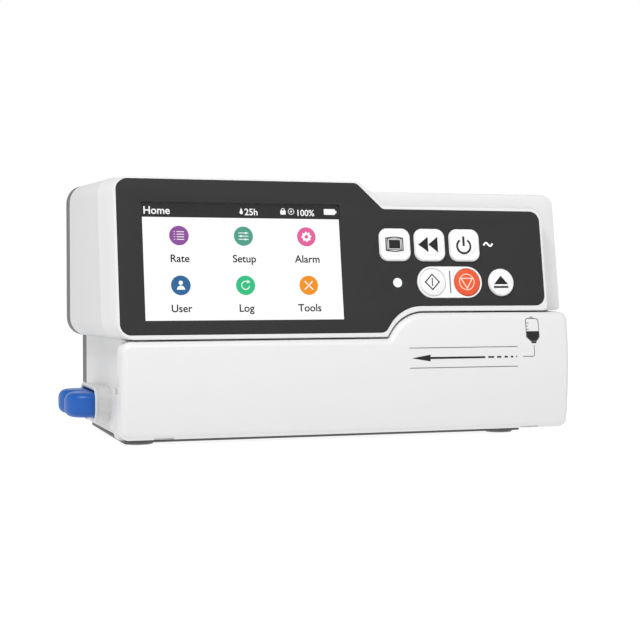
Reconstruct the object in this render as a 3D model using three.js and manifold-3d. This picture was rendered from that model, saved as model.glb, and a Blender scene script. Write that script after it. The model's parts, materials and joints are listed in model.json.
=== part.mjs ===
// Volumetric infusion pump for a ward: a wide flat case whose sloping front carries a colour
// display and six keys, above a bottom-hinged door that closes over the tubing channel.
// Behind the door a row of pumping fingers squeezes the tubing against a sprung platen.
//
// All sizes are millimetres. Shapes are drawn with +X to the right, +Y to the back and +Z up,
// from the lower left corner of the sloping front panel; the last lines move the assembly so
// that its origin is the middle of the surface that it stands on.
import * as THREE from 'three';
import { mergeVertices } from 'three/addons/utils/BufferGeometryUtils.js';
import Module from 'manifold-3d';

const wasm = await Module();
wasm.setup();

// ---------------------------------------------------------------- driving dimensions
const TILT = THREE.MathUtils.degToRad(9.64); // the front panel leans back by this angle
const WALL = 2.4;                            // moulded case wall
const GAP = 0.4;                             // clearance between neighbouring pieces

// Case: a wide upper body over a lower body that is narrower on the left.
const UPPER = { left: -5.5, right: 225.5, bottom: -2.3, topLeft: 72.5, topRight: 68.3 };
const LOWER = { left: 3.5, right: 223, bottom: -49, front: 9.5 };
const SHOULDER = { z: 9.9, x: 136.3, footX: 128.2, radius: 20.5 };
const COVER = { front: 116, back: 130 };
// The moulded housing widens towards the back by these amounts, for its draft.
const DRAFT = { top: 2.6, overhang: 1.7, upperLeft: 1.1, lowerLeft: 1.7 };
const SEAM_DEPTH = 17.5;      // joint between front shell and rear housing, behind the panel
const PLATEAU_DEPTH = 9.5;    // height of the raised panel field over the shell's flange
const PANEL = { thick: 0.9, recess: 1.2 };

// Front panel features, as x and distance s up the slope.
const SCREEN = { x: [11.8, 106.9], s: [6.7, 61.5] };
const LCD = { x: [9.6, 109.2], s: [4.2, 64], depth: [1.2, 5.4] };
const KEY_ROWS = { upper: 42.6, lower: 24.2 };
const SQUARE_KEYS = { key_menu: 134.3, key_rewind: 152.35, key_power: 170.6 };
const ROUND_KEYS = { key_start: 152.7, key_stop: 170.8, key_open: 189.0 };
const KEY = { square: 15.4, corner: 4, round: 6.5, proud: 1.2, back: 4.9, flange: 0.9 };
const DOME = { square: 6, round: 5.2, crown: 0.4 };
const PILL = { x: 161.8, s: 24.3, width: 34, height: 15.6, proud: 0.6 };
const STATUS_LIGHT = { x: 134.8, s: 24.1, radius: 2.2 };
const MAINS_LIGHT = { x: 183.5, s: 43.2, width: 5.6, height: 2, corner: 0.9 };
const LIGHT_GUIDE_DEPTH = [-0.3, 6.8];
const WINDOW_DEPTH = [0.05, 0.85];

// Door, hinged along its lower edge.
const DOOR = { left: 0, right: 223.6, bottom: -48, top: 9.4, topLeft: -2.8, back: 9, wall: 2.4 };
const DOOR_FACE = { y: -3.2, z: -20, radius: 150 };
const HINGE = { y: 3.2, z: -43.5, rod: 1.5, sweep: 5.8, lug: 2.7, lugWidth: 8, lugX: [20, 203] };
const HOOK = { x: [30, 195], z: -10, half: 2, back: 16, notch: [12.4, 14.8] };
const HOOK_WINDOW = { half: 3.6, z: [-13.2, -5.4] };
const LATCH_BAR = { y: [17.2, 19.2], z: [-12.6, -7.4], x: [20, 206] };
const TOOTH = { y: [12.8, 14.4], tip: 2.5, arm: 4.4, end: 8, half: 1 };
const ACTUATOR = { x: [174, 190], y: [20.4, 36], z: [-18, -5] };
const PLUNGER = { y: 28, z: -11.5, radius: 4, x: [189.9, 196] };

// Tubing channel and pumping mechanism.
const CHANNEL = { z: -21.4, half: 2.6, front: 4.6 };
const PLATE = { back: 12, left: 6.3, right: 220.2, bottom: -46.2, topLeft: -3.1, top: 9 };
const FINGER = { count: 8, firstX: 87, pitch: 6, width: 5.4, height: 10.4, length: 19.45 };
const FINGER_FRONT = 7.2;     // tip of a finger that squeezes the tubing shut
const CAM = { y: 36, radius: 6, offset: 1, shaft: 2.5, x: [68, 154] };
const BEARING = { radius: 7, width: 5, x: [74.5, 141.5], cheek: 9, back: 46, z: [-29.8, -13.4] };
const PLATEN = { x: [82, 134.2], y: [1.6, 5.4], half: 5.6 };
const LEAF = { x: [88, 128.2], end: 1.3, crown: -1.7, thick: 0.4, half: 3 };
const SENSOR = {
  bubble: 38, downstream: 62, upstream: 168, half: 5, y: [10.4, 22], high: 4.6, button: 3,
};
const FORK = { y: [5.4, 22], high: 8 };
const MOTOR = { y: 78, half: 17.5, x: [106, 142], shaft: 2.5 };
const PULLEY = { cam: 10, motor: 5, x: [148.5, 154.5], rim: 0.9 };
const BELT = { x: [149, 154], thick: 1.2 };

// A cheek on the lower left wall carries the door's side round to the back.
const CHEEK = { x: [0.2, 4.5], y: [9.5, 24.7], z: [-48.6, -25], corner: 8, top: 2 };

// Side release on the lower left wall.
const BOSS = { x: [-4.5, 3.2], y: [44.3, 92.5], z: [-43, -27], corner: 6, rim: 1.6 };
const GRIP = { lobe: 11, lobeX: -6.5, back: -0.5 };
const RELEASE = { y: 68.4, z: -35, rod: 3, rodEnd: 34 };
const SPRING_STOP = { x: [24.5, 27], y: [56, 81], z: [-48, -26] };
const COIL = { radius: 5, turns: 6, length: 21, wire: 0.7, start: 1.5, stepsPerTurn: 9 };
const ROD_FOOT = { thick: 3, y: [-5, 5], z: [-3, 5] };

const FOOT = { radius: 7, z: [-51.5, -50.6], x: [12, 196], y: [22, 90] };
const BASE = { x: [8, 205], y: [9.9, 112], z: [-50.3, -49.3] };
const INLET = { x: 190, z: -24, width: 28, height: 21, socket: [24.2, 16.4], front: 109, deep: 14 };
const PIN = { width: 2, height: 4, proud: 9.2, places: [[-7, -1.5], [7, -1.5], [0, 2.5]] };
const PORT = { x: 152, z: -24, width: 16, height: 13, socket: [11.8, 8], front: 112, deep: 11 };
const EARTH = { x: 128, z: -24, hole: 9, pin: 3, flange: [121, 123], pinY: [116, 129.6] };
const SPEAKER = { x: 60, z: -24, radius: 15, y: [122, 127], slots: 5, slotPitch: 5, slot: [22, 2.2] };
const MAGNET_CUP = { radius: 8, y: [116, 122.1] };

// Electronics inside the case. Chips are [x, s, side] and the connector is [x, s, width, height].
const KEYPAD_BOARD = {
  x: [124, 199], s: [15.5, 53], depth: [7.6, 9.2], button: 6, buttonDepth: [6.4, 7.7],
};
const MAIN_BOARD = {
  x: [4, 118], s: [3, 66], depth: [8.5, 10.1],
  chips: [[30, 20, 14], [58, 44, 10], [92, 26, 12]], chipDepth: [10, 11.8],
  connector: [60, 60, 50, 5], connectorDepth: [10, 14],
};
const SUPPLY = {
  board: [[118, 208], [66, 122], [4, 5.8]],
  transformer: [[150, 180], [76, 104], [5.7, 32]],
  heatSink: [[192, 196], [72, 112], [5.7, 30]],
  capacitors: { x: 132, y: [80, 94, 108], radius: 5, z: [5, 24] },
};
const BATTERY = { x: [8, 98], y: [72, 118], z: [6, 44], corner: 4 };

// ---------------------------------------------------------------- shape helpers
const between = ([low, high]) => (low + high) / 2;

// A solid for cutting and joining, from a closed geometry or from a solid.
function solid(shape) {
  if (!shape.isBufferGeometry) return shape;
  const bare = shape.clone();
  bare.deleteAttribute('normal');
  bare.deleteAttribute('uv');
  const merged = mergeVertices(bare);
  return new wasm.Manifold(new wasm.Mesh({
    numProp: 3,
    vertProperties: merged.attributes.position.array,
    triVerts: new Uint32Array(merged.index.array),
  }));
}

const join = (...shapes) => shapes.map(solid).reduce((a, b) => a.add(b));
const cut = (body, ...tools) => tools.map(solid).reduce((a, b) => a.subtract(b), solid(body));
const common = (a, b) => solid(a).intersect(solid(b));

function geometryOf(body) {
  const { vertProperties, triVerts } = body.getMesh();
  const geometry = new THREE.BufferGeometry();
  geometry.setAttribute('position', new THREE.BufferAttribute(vertProperties, 3));
  geometry.setIndex(new THREE.BufferAttribute(triVerts, 1));
  geometry.computeVertexNormals();
  return geometry;
}

// Moves every edge of an anticlockwise outline of [x, y, corner radius] inwards by inset.
function insetCorners(corners, inset) {
  return corners.map(([x, y, radius], i) => {
    const [px, py] = corners.at(i - 1);
    const [nx, ny] = corners[(i + 1) % corners.length];
    const before = new THREE.Vector2(x - px, y - py).normalize();
    const after = new THREE.Vector2(nx - x, ny - y).normalize();
    const turn = before.cross(after);
    const reach = inset / (1 + before.dot(after));
    const dx = -(before.y + after.y) * reach;
    const dy = (before.x + after.x) * reach;
    const rounded = turn > 0 ? Math.max(radius - inset, 0) : radius + inset;
    return [x + dx, y + dy, rounded];
  });
}

// A closed outline of [x, y, corner radius] points, each corner an arc.
function rounded(corners, inset = 0) {
  const moved = inset ? insetCorners(corners, inset) : corners;
  const shape = new THREE.Shape();
  moved.forEach(([x, y, radius], i) => {
    const [px, py] = moved.at(i - 1);
    const [nx, ny] = moved[(i + 1) % moved.length];
    const before = new THREE.Vector2(x - px, y - py).normalize();
    const after = new THREE.Vector2(nx - x, ny - y).normalize();
    const turn = Math.atan2(before.cross(after), before.dot(after));
    const reach = radius * Math.tan(Math.abs(turn) / 2);
    const start = new THREE.Vector2(x, y).addScaledVector(before, -reach);
    if (i === 0) shape.moveTo(start.x, start.y);
    else shape.lineTo(start.x, start.y);
    if (radius === 0) return;
    const side = Math.sign(turn);
    const cx = start.x - before.y * radius * side;
    const cy = start.y + before.x * radius * side;
    const from = Math.atan2(start.y - cy, start.x - cx);
    shape.absarc(cx, cy, radius, from, from + turn, turn < 0);
  });
  shape.closePath();
  return shape;
}

function rectangle([x0, x1], [y0, y1], radius = 0) {
  return rounded([[x0, y0, radius], [x1, y0, radius], [x1, y1, radius], [x0, y1, radius]]);
}

const square = (x, y, width, height, radius) =>
  rectangle([x - width / 2, x + width / 2], [y - height / 2, y + height / 2], radius);

function disc(x, y, radius) {
  const shape = new THREE.Shape();
  shape.absarc(x, y, radius, 0, 2 * Math.PI);
  return shape;
}

const extrude = (shape, depth, curveSegments) =>
  new THREE.ExtrudeGeometry(shape, { depth, bevelEnabled: false, curveSegments });

// Segments in each arc of an outline: small corners, the panel's corners, and round features.
const CURVE = 2;
const PANEL_CURVE = 3;
const SMALL_ROUND_CURVE = 5;
const ROUND_CURVE = 8;

// Prisms along each axis: an outline in (x, z) along Y, in (y, z) along X, in (x, y) along Z.
function alongY(shape, [y0, y1], curve = CURVE) {
  return extrude(shape, y1 - y0, curve).rotateX(Math.PI / 2).translate(0, y1, 0);
}

function alongX(shape, [x0, x1], curve = CURVE) {
  const turn = new THREE.Matrix4().makeBasis(
    new THREE.Vector3(0, 1, 0), new THREE.Vector3(0, 0, 1), new THREE.Vector3(1, 0, 0));
  return extrude(shape, x1 - x0, curve).applyMatrix4(turn).translate(x0, 0, 0);
}

const alongZ = (shape, [z0, z1], curve = CURVE) =>
  extrude(shape, z1 - z0, curve).translate(0, 0, z0);

// Widens a prism along Y towards the back, as the draft of a moulding does.
function drafted(geometry) {
  const { mapLinear } = THREE.MathUtils;
  const place = geometry.attributes.position;
  for (let i = 0; i < place.count; i += 1) {
    const [x, y, z] = [place.getX(i), place.getY(i), place.getZ(i)];
    const share = (y - LOWER.front) / (COVER.back - LOWER.front);
    const rise = z > UPPER.bottom
      ? mapLinear(z, UPPER.bottom, UPPER.topLeft, -DRAFT.overhang, DRAFT.top)
      : mapLinear(z, LOWER.bottom, UPPER.bottom, 0, -DRAFT.overhang);
    const spread = x < LOWER.left
      ? mapLinear(x, UPPER.left, LOWER.left, -DRAFT.upperLeft, -DRAFT.lowerLeft)
      : mapLinear(x, LOWER.left, UPPER.right, -DRAFT.lowerLeft, 0);
    place.setXYZ(i, x + share * spread, y, z + share * rise);
  }
  return geometry;
}

// A prism behind the sloping front: outline in (x, s), from one depth to another.
const behindPanel = (shape, depths, curve = CURVE) => alongY(shape, depths, curve).rotateX(-TILT);

function block([x0, x1], [y0, y1], [z0, z1]) {
  return new THREE.BoxGeometry(x1 - x0, y1 - y0, z1 - z0)
    .translate((x0 + x1) / 2, (y0 + y1) / 2, (z0 + z1) / 2);
}

function rodX(y, z, radius, [x0, x1], sides = 16) {
  return new THREE.CylinderGeometry(radius, radius, x1 - x0, sides)
    .rotateZ(Math.PI / 2).translate((x0 + x1) / 2, y, z);
}

function rodY(x, z, radius, [y0, y1], sides = 20) {
  return new THREE.CylinderGeometry(radius, radius, y1 - y0, sides).translate(x, (y0 + y1) / 2, z);
}

// ---------------------------------------------------------------- materials
const finish = (color, roughness, metalness = 0) =>
  new THREE.MeshStandardMaterial({ color, roughness, metalness });
const WHITE = finish(0xececec, 0.45);
const DARK_PANEL = finish(0x3c3c3c, 0.35);
const GREY = finish(0x7d7f80, 0.55);
const DARK = finish(0x4a4c4e, 0.6);
const KEYCAP = finish(0xf3f3f3, 0.5);
const ORANGE = finish(0xf0623a, 0.45);
const BLUE = finish(0x2a68c4, 0.4);
const RUBBER = finish(0x2b2b2b, 0.85);
const STEEL = finish(0xb8bcc0, 0.35, 1);
const ALLOY = finish(0xc4c7ca, 0.5, 1);
const ENGINEERING = finish(0xd9d7cf, 0.5);
const BOARD = finish(0x1f5a3a, 0.6);
const LCD_GLASS = finish(0xf6f8fa, 0.2);
const CLEAR = new THREE.MeshStandardMaterial({ color: 0xffffff, roughness: 0.05, opacity: 0.3 });
const LIGHT_PIPE = finish(0xfafafa, 0.3);
const BRASS = finish(0xc8a24a, 0.35, 1);
const BATTERY_WRAP = finish(0x2f4a78, 0.5);
const MAGNET = finish(0x26282a, 0.5, 0.6);

const pump = new THREE.Group();

function part(name, shape, material) {
  const mesh = new THREE.Mesh(shape.isBufferGeometry ? shape : geometryOf(shape), material);
  mesh.name = name;
  pump.add(mesh);
}

// ---------------------------------------------------------------- outlines
// The whole case seen from the front.
const CASE_OUTLINE = [
  [LOWER.left, LOWER.bottom, 2], [LOWER.right, LOWER.bottom, 3],
  [LOWER.right, SHOULDER.z, 0], [UPPER.right, SHOULDER.z, 1],
  [UPPER.right, UPPER.topRight, 5], [128, UPPER.topRight, 4],
  [118.5, UPPER.topLeft, 6], [UPPER.left, UPPER.topLeft, 9],
  [UPPER.left, UPPER.bottom, 9], [LOWER.left, UPPER.bottom, 0],
];

// The front shell's flange, which closes the upper body.
const SHELL_OUTLINE = [
  [UPPER.left, UPPER.bottom, 9], [SHOULDER.footX, UPPER.bottom, 0.6],
  [SHOULDER.x, SHOULDER.z, SHOULDER.radius], [UPPER.right, SHOULDER.z, 1],
  [UPPER.right, UPPER.topRight, 5], [128, UPPER.topRight, 4],
  [118.5, UPPER.topLeft, 6], [UPPER.left, UPPER.topLeft, 9],
];

// The raised field around the panel.
const PLATEAU_OUTLINE = [
  [-2.6, UPPER.bottom, 7], [SHOULDER.footX, UPPER.bottom, 0.6],
  [SHOULDER.x, SHOULDER.z, SHOULDER.radius], [213.9, SHOULDER.z, 6],
  [213.9, 60.7, 6], [130, 60.7, 3],
  [117.8, UPPER.topLeft, 5], [-2.6, UPPER.topLeft, 6],
];

// The dark panel, in (x, s).
const PANEL_OUTLINE = [
  [0, 0, 5], [127.2, 0, 4], [136, 12.75, 20], [212.2, 12.75, 5],
  [212.2, 60, 5], [129.2, 60, 3], [116.4, 72.6, 4], [0, 72.6, 5],
];

const DOOR_OUTLINE = [
  [DOOR.left, DOOR.bottom, 4], [DOOR.right, DOOR.bottom, 4], [DOOR.right, DOOR.top, 4],
  [136.6, DOOR.top, 20], [128.5, DOOR.topLeft, 0.5], [DOOR.left, DOOR.topLeft, 5],
];

const PLATE_OUTLINE = [
  [PLATE.left, PLATE.bottom, 1], [PLATE.right, PLATE.bottom, 1], [PLATE.right, PLATE.top, 1],
  [137, PLATE.top, 18], [129, PLATE.topLeft, 1], [PLATE.left, PLATE.topLeft, 1],
];

// Spans that reach past the whole pump, for cutting right through it.
const ACROSS = [-60, 300];
const THROUGH = [-40, 90];
const UPWARDS = [-80, 130];
const slab = (depths) => behindPanel(rectangle(ACROSS, UPWARDS), depths);
const sloping = (outline, inset, depths) =>
  common(alongY(rounded(outline, inset), THROUGH), slab(depths));
const flange = (inset, depths) =>
  common(drafted(alongY(rounded(SHELL_OUTLINE, inset), THROUGH)), slab(depths));

// ---------------------------------------------------------------- front of the upper body
const keyOpening = (x, s) => square(x, s, KEY.square + 2 * GAP, KEY.square + 2 * GAP, KEY.corner);

function controlOpenings(depths) {
  return [
    ...Object.values(SQUARE_KEYS).map((x) => behindPanel(keyOpening(x, KEY_ROWS.upper), depths)),
    ...Object.values(ROUND_KEYS).map((x) =>
      behindPanel(disc(x, KEY_ROWS.lower, KEY.round + GAP), depths, ROUND_CURVE)),
    behindPanel(disc(STATUS_LIGHT.x, STATUS_LIGHT.s, STATUS_LIGHT.radius + GAP), depths,
      SMALL_ROUND_CURVE),
    behindPanel(square(MAINS_LIGHT.x, MAINS_LIGHT.s, MAINS_LIGHT.width + 2 * GAP,
      MAINS_LIGHT.height + 2 * GAP, MAINS_LIGHT.corner), depths),
  ];
}

function frontShell() {
  const skin = join(flange(0, [PLATEAU_DEPTH, SEAM_DEPTH]),
    sloping(PLATEAU_OUTLINE, 0, [0, PLATEAU_DEPTH + 0.1]));
  const wallBack = PANEL.recess + WALL;
  const screenOpening = rectangle([LCD.x[0] - GAP, LCD.x[1] + GAP], [LCD.s[0] - GAP, LCD.s[1] + GAP]);
  return cut(skin,
    flange(WALL, [PLATEAU_DEPTH + WALL, SEAM_DEPTH + 1]),
    sloping(PLATEAU_OUTLINE, WALL, [wallBack, PLATEAU_DEPTH + WALL + 0.1]),
    behindPanel(rounded(PANEL_OUTLINE, -0.2), [-1, PANEL.recess], PANEL_CURVE),
    behindPanel(screenOpening, [0, wallBack + 1]),
    ...controlOpenings([0, wallBack + 1]));
}

function fasciaPanel() {
  const plate = behindPanel(rounded(PANEL_OUTLINE), [0, PANEL.thick], PANEL_CURVE);
  const window = rectangle([SCREEN.x[0] - GAP, SCREEN.x[1] + GAP],
    [SCREEN.s[0] - GAP, SCREEN.s[1] + GAP]);
  const pill = square(PILL.x, PILL.s, PILL.width + GAP, PILL.height + GAP, PILL.height / 2);
  const through = [-1, 2];
  return cut(plate, behindPanel(window, through), behindPanel(pill, through, SMALL_ROUND_CURVE),
    ...controlOpenings(through));
}

function keySurround() {
  const pill = square(PILL.x, PILL.s, PILL.width - GAP, PILL.height - GAP, PILL.height / 2 - GAP);
  const holes = [ROUND_KEYS.key_start, ROUND_KEYS.key_stop].map((x) =>
    behindPanel(disc(x, KEY_ROWS.lower, KEY.round + GAP), [-2, 2], ROUND_CURVE));
  return cut(behindPanel(pill, [-PILL.proud, PANEL.thick], SMALL_ROUND_CURVE), ...holes);
}

function squareKey(x) {
  const s = KEY_ROWS.upper;
  const wide = KEY.square + 2 * KEY.flange;
  return join(
    behindPanel(square(x, s, KEY.square, KEY.square, KEY.corner), [-KEY.proud, KEY.back]),
    behindPanel(square(x, s, wide, wide, KEY.corner), [KEY.back - KEY.flange, KEY.back]),
    behindPanel(disc(x, s, DOME.square), [-KEY.proud - DOME.crown, 0], ROUND_CURVE));
}

function roundKey(x) {
  const s = KEY_ROWS.lower;
  return join(
    behindPanel(disc(x, s, KEY.round), [-KEY.proud, KEY.back], ROUND_CURVE),
    behindPanel(disc(x, s, KEY.round + KEY.flange), [KEY.back - KEY.flange, KEY.back], ROUND_CURVE),
    behindPanel(disc(x, s, DOME.round), [-KEY.proud - DOME.crown, 0], ROUND_CURVE));
}

function keypadBoard() {
  const { x: across, s: up, depth, button, buttonDepth } = KEYPAD_BOARD;
  const seats = [
    ...Object.values(SQUARE_KEYS).map((x) => [x, KEY_ROWS.upper]),
    ...Object.values(ROUND_KEYS).map((x) => [x, KEY_ROWS.lower]),
  ];
  return join(behindPanel(rectangle(across, up), depth),
    ...seats.map(([x, s]) => behindPanel(square(x, s, button, button, 0), buttonDepth)));
}

function mainBoard() {
  const { x: across, s: up, depth, chips, chipDepth, connector, connectorDepth } = MAIN_BOARD;
  return join(behindPanel(rectangle(across, up), depth),
    ...chips.map(([x, s, size]) => behindPanel(square(x, s, size, size, 0), chipDepth)),
    behindPanel(square(...connector, 0), connectorDepth));
}

function addFront() {
  part('front_shell', frontShell(), WHITE);
  part('fascia_panel', fasciaPanel(), DARK_PANEL);
  part('display_window', behindPanel(rectangle(SCREEN.x, SCREEN.s), WINDOW_DEPTH), CLEAR);
  part('display_panel', behindPanel(rectangle(LCD.x, LCD.s), LCD.depth), LCD_GLASS);
  part('key_surround', keySurround(), KEYCAP);
  part('status_light', behindPanel(disc(STATUS_LIGHT.x, STATUS_LIGHT.s, STATUS_LIGHT.radius),
    LIGHT_GUIDE_DEPTH, SMALL_ROUND_CURVE), LIGHT_PIPE);
  part('mains_light', behindPanel(square(MAINS_LIGHT.x, MAINS_LIGHT.s, MAINS_LIGHT.width,
    MAINS_LIGHT.height, MAINS_LIGHT.corner), LIGHT_GUIDE_DEPTH), LIGHT_PIPE);
  Object.entries(SQUARE_KEYS).forEach(([name, x]) => part(name, squareKey(x), KEYCAP));
  Object.entries(ROUND_KEYS).forEach(([name, x]) =>
    part(name, roundKey(x), name === 'key_stop' ? ORANGE : KEYCAP));
  part('keypad_board', keypadBoard(), BOARD);
  part('main_board', mainBoard(), BOARD);
}

// ---------------------------------------------------------------- housing, cover, base
const bossPocket = (x) => alongX(
  rounded(rectangleCorners(BOSS.y, BOSS.z, BOSS.corner), BOSS.rim), x, 3);

function rectangleCorners([x0, x1], [y0, y1], radius) {
  return [[x0, y0, radius], [x1, y0, radius], [x1, y1, radius], [x0, y1, radius]];
}

function rearHousing() {
  const run = [LOWER.front, COVER.front - 0.3];
  const tube = cut(drafted(alongY(rounded(CASE_OUTLINE), run)),
    drafted(alongY(rounded(CASE_OUTLINE, WALL), [run[0] - 1, run[1] + 1])));
  const shellSpace = sloping(SHELL_OUTLINE, -0.5, [-60, SEAM_DEPTH + 0.3]);
  const springStop = block(SPRING_STOP.x, SPRING_STOP.y, SPRING_STOP.z);
  const [front, back] = CHEEK.y;
  const [low, high] = CHEEK.z;
  const cheek = alongX(rounded([[front, low, 0], [back, low, CHEEK.corner],
    [back, high, CHEEK.top], [front, high, 0]]), CHEEK.x, 3);
  return cut(join(cut(tube, shellSpace), springStop, cheek), bossPocket([0, 8]),
    rodX(RELEASE.y, RELEASE.z, RELEASE.rod + GAP, [SPRING_STOP.x[0] - 1, SPRING_STOP.x[1] + 1]));
}

function rearCover() {
  const tray = cut(drafted(alongY(rounded(CASE_OUTLINE), [COVER.front, COVER.back])),
    drafted(alongY(rounded(CASE_OUTLINE, WALL), [COVER.front - 1, COVER.back - WALL])));
  const out = [COVER.front, COVER.back + 1];
  const slots = Array.from({ length: SPEAKER.slots }, (_, i) => {
    const z = SPEAKER.z + (i - (SPEAKER.slots - 1) / 2) * SPEAKER.slotPitch;
    return alongY(square(SPEAKER.x, z, ...SPEAKER.slot, 1), out);
  });
  return cut(tray, ...slots,
    alongY(square(INLET.x, INLET.z, INLET.width + 2 * GAP, INLET.height + 2 * GAP, 0), out),
    alongY(square(PORT.x, PORT.z, PORT.width + 2 * GAP, PORT.height + 2 * GAP, 0), out),
    alongY(disc(EARTH.x, EARTH.z, EARTH.hole), out, ROUND_CURVE));
}

function addCase() {
  part('rear_housing', rearHousing(), WHITE);
  part('rear_cover', rearCover(), GREY);
  part('base_plate', alongZ(rectangle(BASE.x, BASE.y, 3), BASE.z), DARK);
  const corners = FOOT.y.flatMap((y) => FOOT.x.map((x) => [x, y]));
  const places = ['front_left', 'front_right', 'rear_left', 'rear_right'];
  corners.forEach(([x, y], i) =>
    part(`foot_${places[i]}`, alongZ(disc(x, y, FOOT.radius), FOOT.z, ROUND_CURVE), RUBBER));
}

// ---------------------------------------------------------------- door
// Side view of the door in (y, z): a bulging face, a flat back and a lower back edge that is
// round about the hinge, so that it turns clear of the body.
function doorSection() {
  const shape = new THREE.Shape();
  const low = DOOR.bottom;
  const high = DOOR.top;
  const centreY = DOOR_FACE.y + DOOR_FACE.radius;
  const angleAt = (z) => Math.PI - Math.asin((z - DOOR_FACE.z) / DOOR_FACE.radius);
  shape.absarc(centreY, DOOR_FACE.z, DOOR_FACE.radius, angleAt(high), angleAt(low));
  const reach = Math.acos((HINGE.z - low) / HINGE.sweep);
  shape.absarc(HINGE.y, HINGE.z, HINGE.sweep, reach - Math.PI / 2, 0);
  shape.lineTo(DOOR.back, high);
  shape.closePath();
  return shape;
}

function doorCavity() {
  const shape = new THREE.Shape();
  const centreY = DOOR_FACE.y + DOOR_FACE.radius;
  const radius = DOOR_FACE.radius - DOOR.wall;
  const angleAt = (z) => Math.PI - Math.asin((z - DOOR_FACE.z) / radius);
  shape.absarc(centreY, DOOR_FACE.z, radius, angleAt(DOOR.top), angleAt(DOOR.bottom));
  shape.lineTo(DOOR.back + 5, DOOR.bottom);
  shape.lineTo(DOOR.back + 5, DOOR.top);
  shape.closePath();
  return common(alongX(shape, ACROSS, 5), alongY(rounded(DOOR_OUTLINE, DOOR.wall), THROUGH));
}

const lugSpan = (x, margin) => [x - HINGE.lugWidth / 2 - margin, x + HINGE.lugWidth / 2 + margin];

function doorShell() {
  const skin = common(alongX(doorSection(), ACROSS, 5), alongY(rounded(DOOR_OUTLINE), THROUGH));
  const notches = HINGE.lugX.map((x) =>
    block(lugSpan(x, 0.6), [HINGE.y - HINGE.lug - 0.5, 20], [DOOR.bottom - 2, -39.8]));
  const tubing = block(ACROSS, [CHANNEL.front + 0.1, 20],
    [CHANNEL.z - CHANNEL.half, CHANNEL.z + CHANNEL.half]);
  return cut(skin, doorCavity(), tubing, ...notches);
}

function doorInnerPlate() {
  const plate = alongY(rounded(DOOR_OUTLINE, DOOR.wall + GAP), [3, CHANNEL.front]);
  return cut(plate, block(ACROSS, [0, 10], [-60, -39.2]),
    block([PLATEN.x[0] - GAP, PLATEN.x[1] + GAP], [0, 10],
      [CHANNEL.z - PLATEN.half - GAP, CHANNEL.z + PLATEN.half + GAP]));
}

// A shallow arched leaf that presses the platen towards the fingers.
function platenSpring() {
  const { x: [x0, x1], end, crown, thick, half } = LEAF;
  const middle = between(LEAF.x);
  const leaf = new THREE.Shape();
  leaf.moveTo(x0, end);
  leaf.quadraticCurveTo(middle, crown, x1, end);
  leaf.lineTo(x1, end - thick);
  leaf.quadraticCurveTo(middle, crown - thick, x0, end - thick);
  leaf.closePath();
  return alongZ(leaf, [CHANNEL.z - half, CHANNEL.z + half], ROUND_CURVE);
}

// A flat hook with a notch in one side, which the latch bar's tooth enters.
function doorHook(x) {
  const { z, half, back, notch } = HOOK;
  return cut(block([x - half, x + half], [CHANNEL.front + 0.3, back], [z - half, z + half]),
    block([x, x + half + 1], notch, [z - half - 1, z + half + 1]));
}

// Each tooth reaches in front of a hook's barb from an arm that passes beside it.
function latchBar() {
  const { y, tip, arm, end, half } = TOOTH;
  const height = [HOOK.z - half, HOOK.z + half];
  const teeth = HOOK.x.flatMap((x) => [
    block([x + tip, x + end], y, height),
    block([x + arm, x + end], [y[0], LATCH_BAR.y[0] + 0.1], height),
  ]);
  return join(block(LATCH_BAR.x, LATCH_BAR.y, LATCH_BAR.z), ...teeth);
}

function addDoor() {
  part('door_shell', doorShell(), WHITE);
  part('door_inner_plate', doorInnerPlate(), ENGINEERING);
  part('hinge_rod', rodX(HINGE.y, HINGE.z, HINGE.rod, [DOOR.left + 3, DOOR.right - 3], 12), STEEL);
  part('platen', alongY(rectangle(PLATEN.x,
    [CHANNEL.z - PLATEN.half, CHANNEL.z + PLATEN.half], 1), PLATEN.y), ENGINEERING);
  part('platen_spring', platenSpring(), STEEL);
  part('door_hook_left', doorHook(HOOK.x[0]), STEEL);
  part('door_hook_right', doorHook(HOOK.x[1]), STEEL);
  part('latch_bar', latchBar(), STEEL);
  part('latch_actuator', join(block(ACTUATOR.x, ACTUATOR.y, ACTUATOR.z),
    rodX(PLUNGER.y, PLUNGER.z, PLUNGER.radius, PLUNGER.x)), MAGNET);
}

// ---------------------------------------------------------------- pumping mechanism
const fingerX = (i) => FINGER.firstX + i * FINGER.pitch;
const fingerPhase = (i) => (2 * Math.PI * i) / FINGER.count;
// How far finger i stands back from the closed position in the travelling wave.
const fingerBack = (i) => CAM.offset * (1 - Math.cos(fingerPhase(i)));

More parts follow.
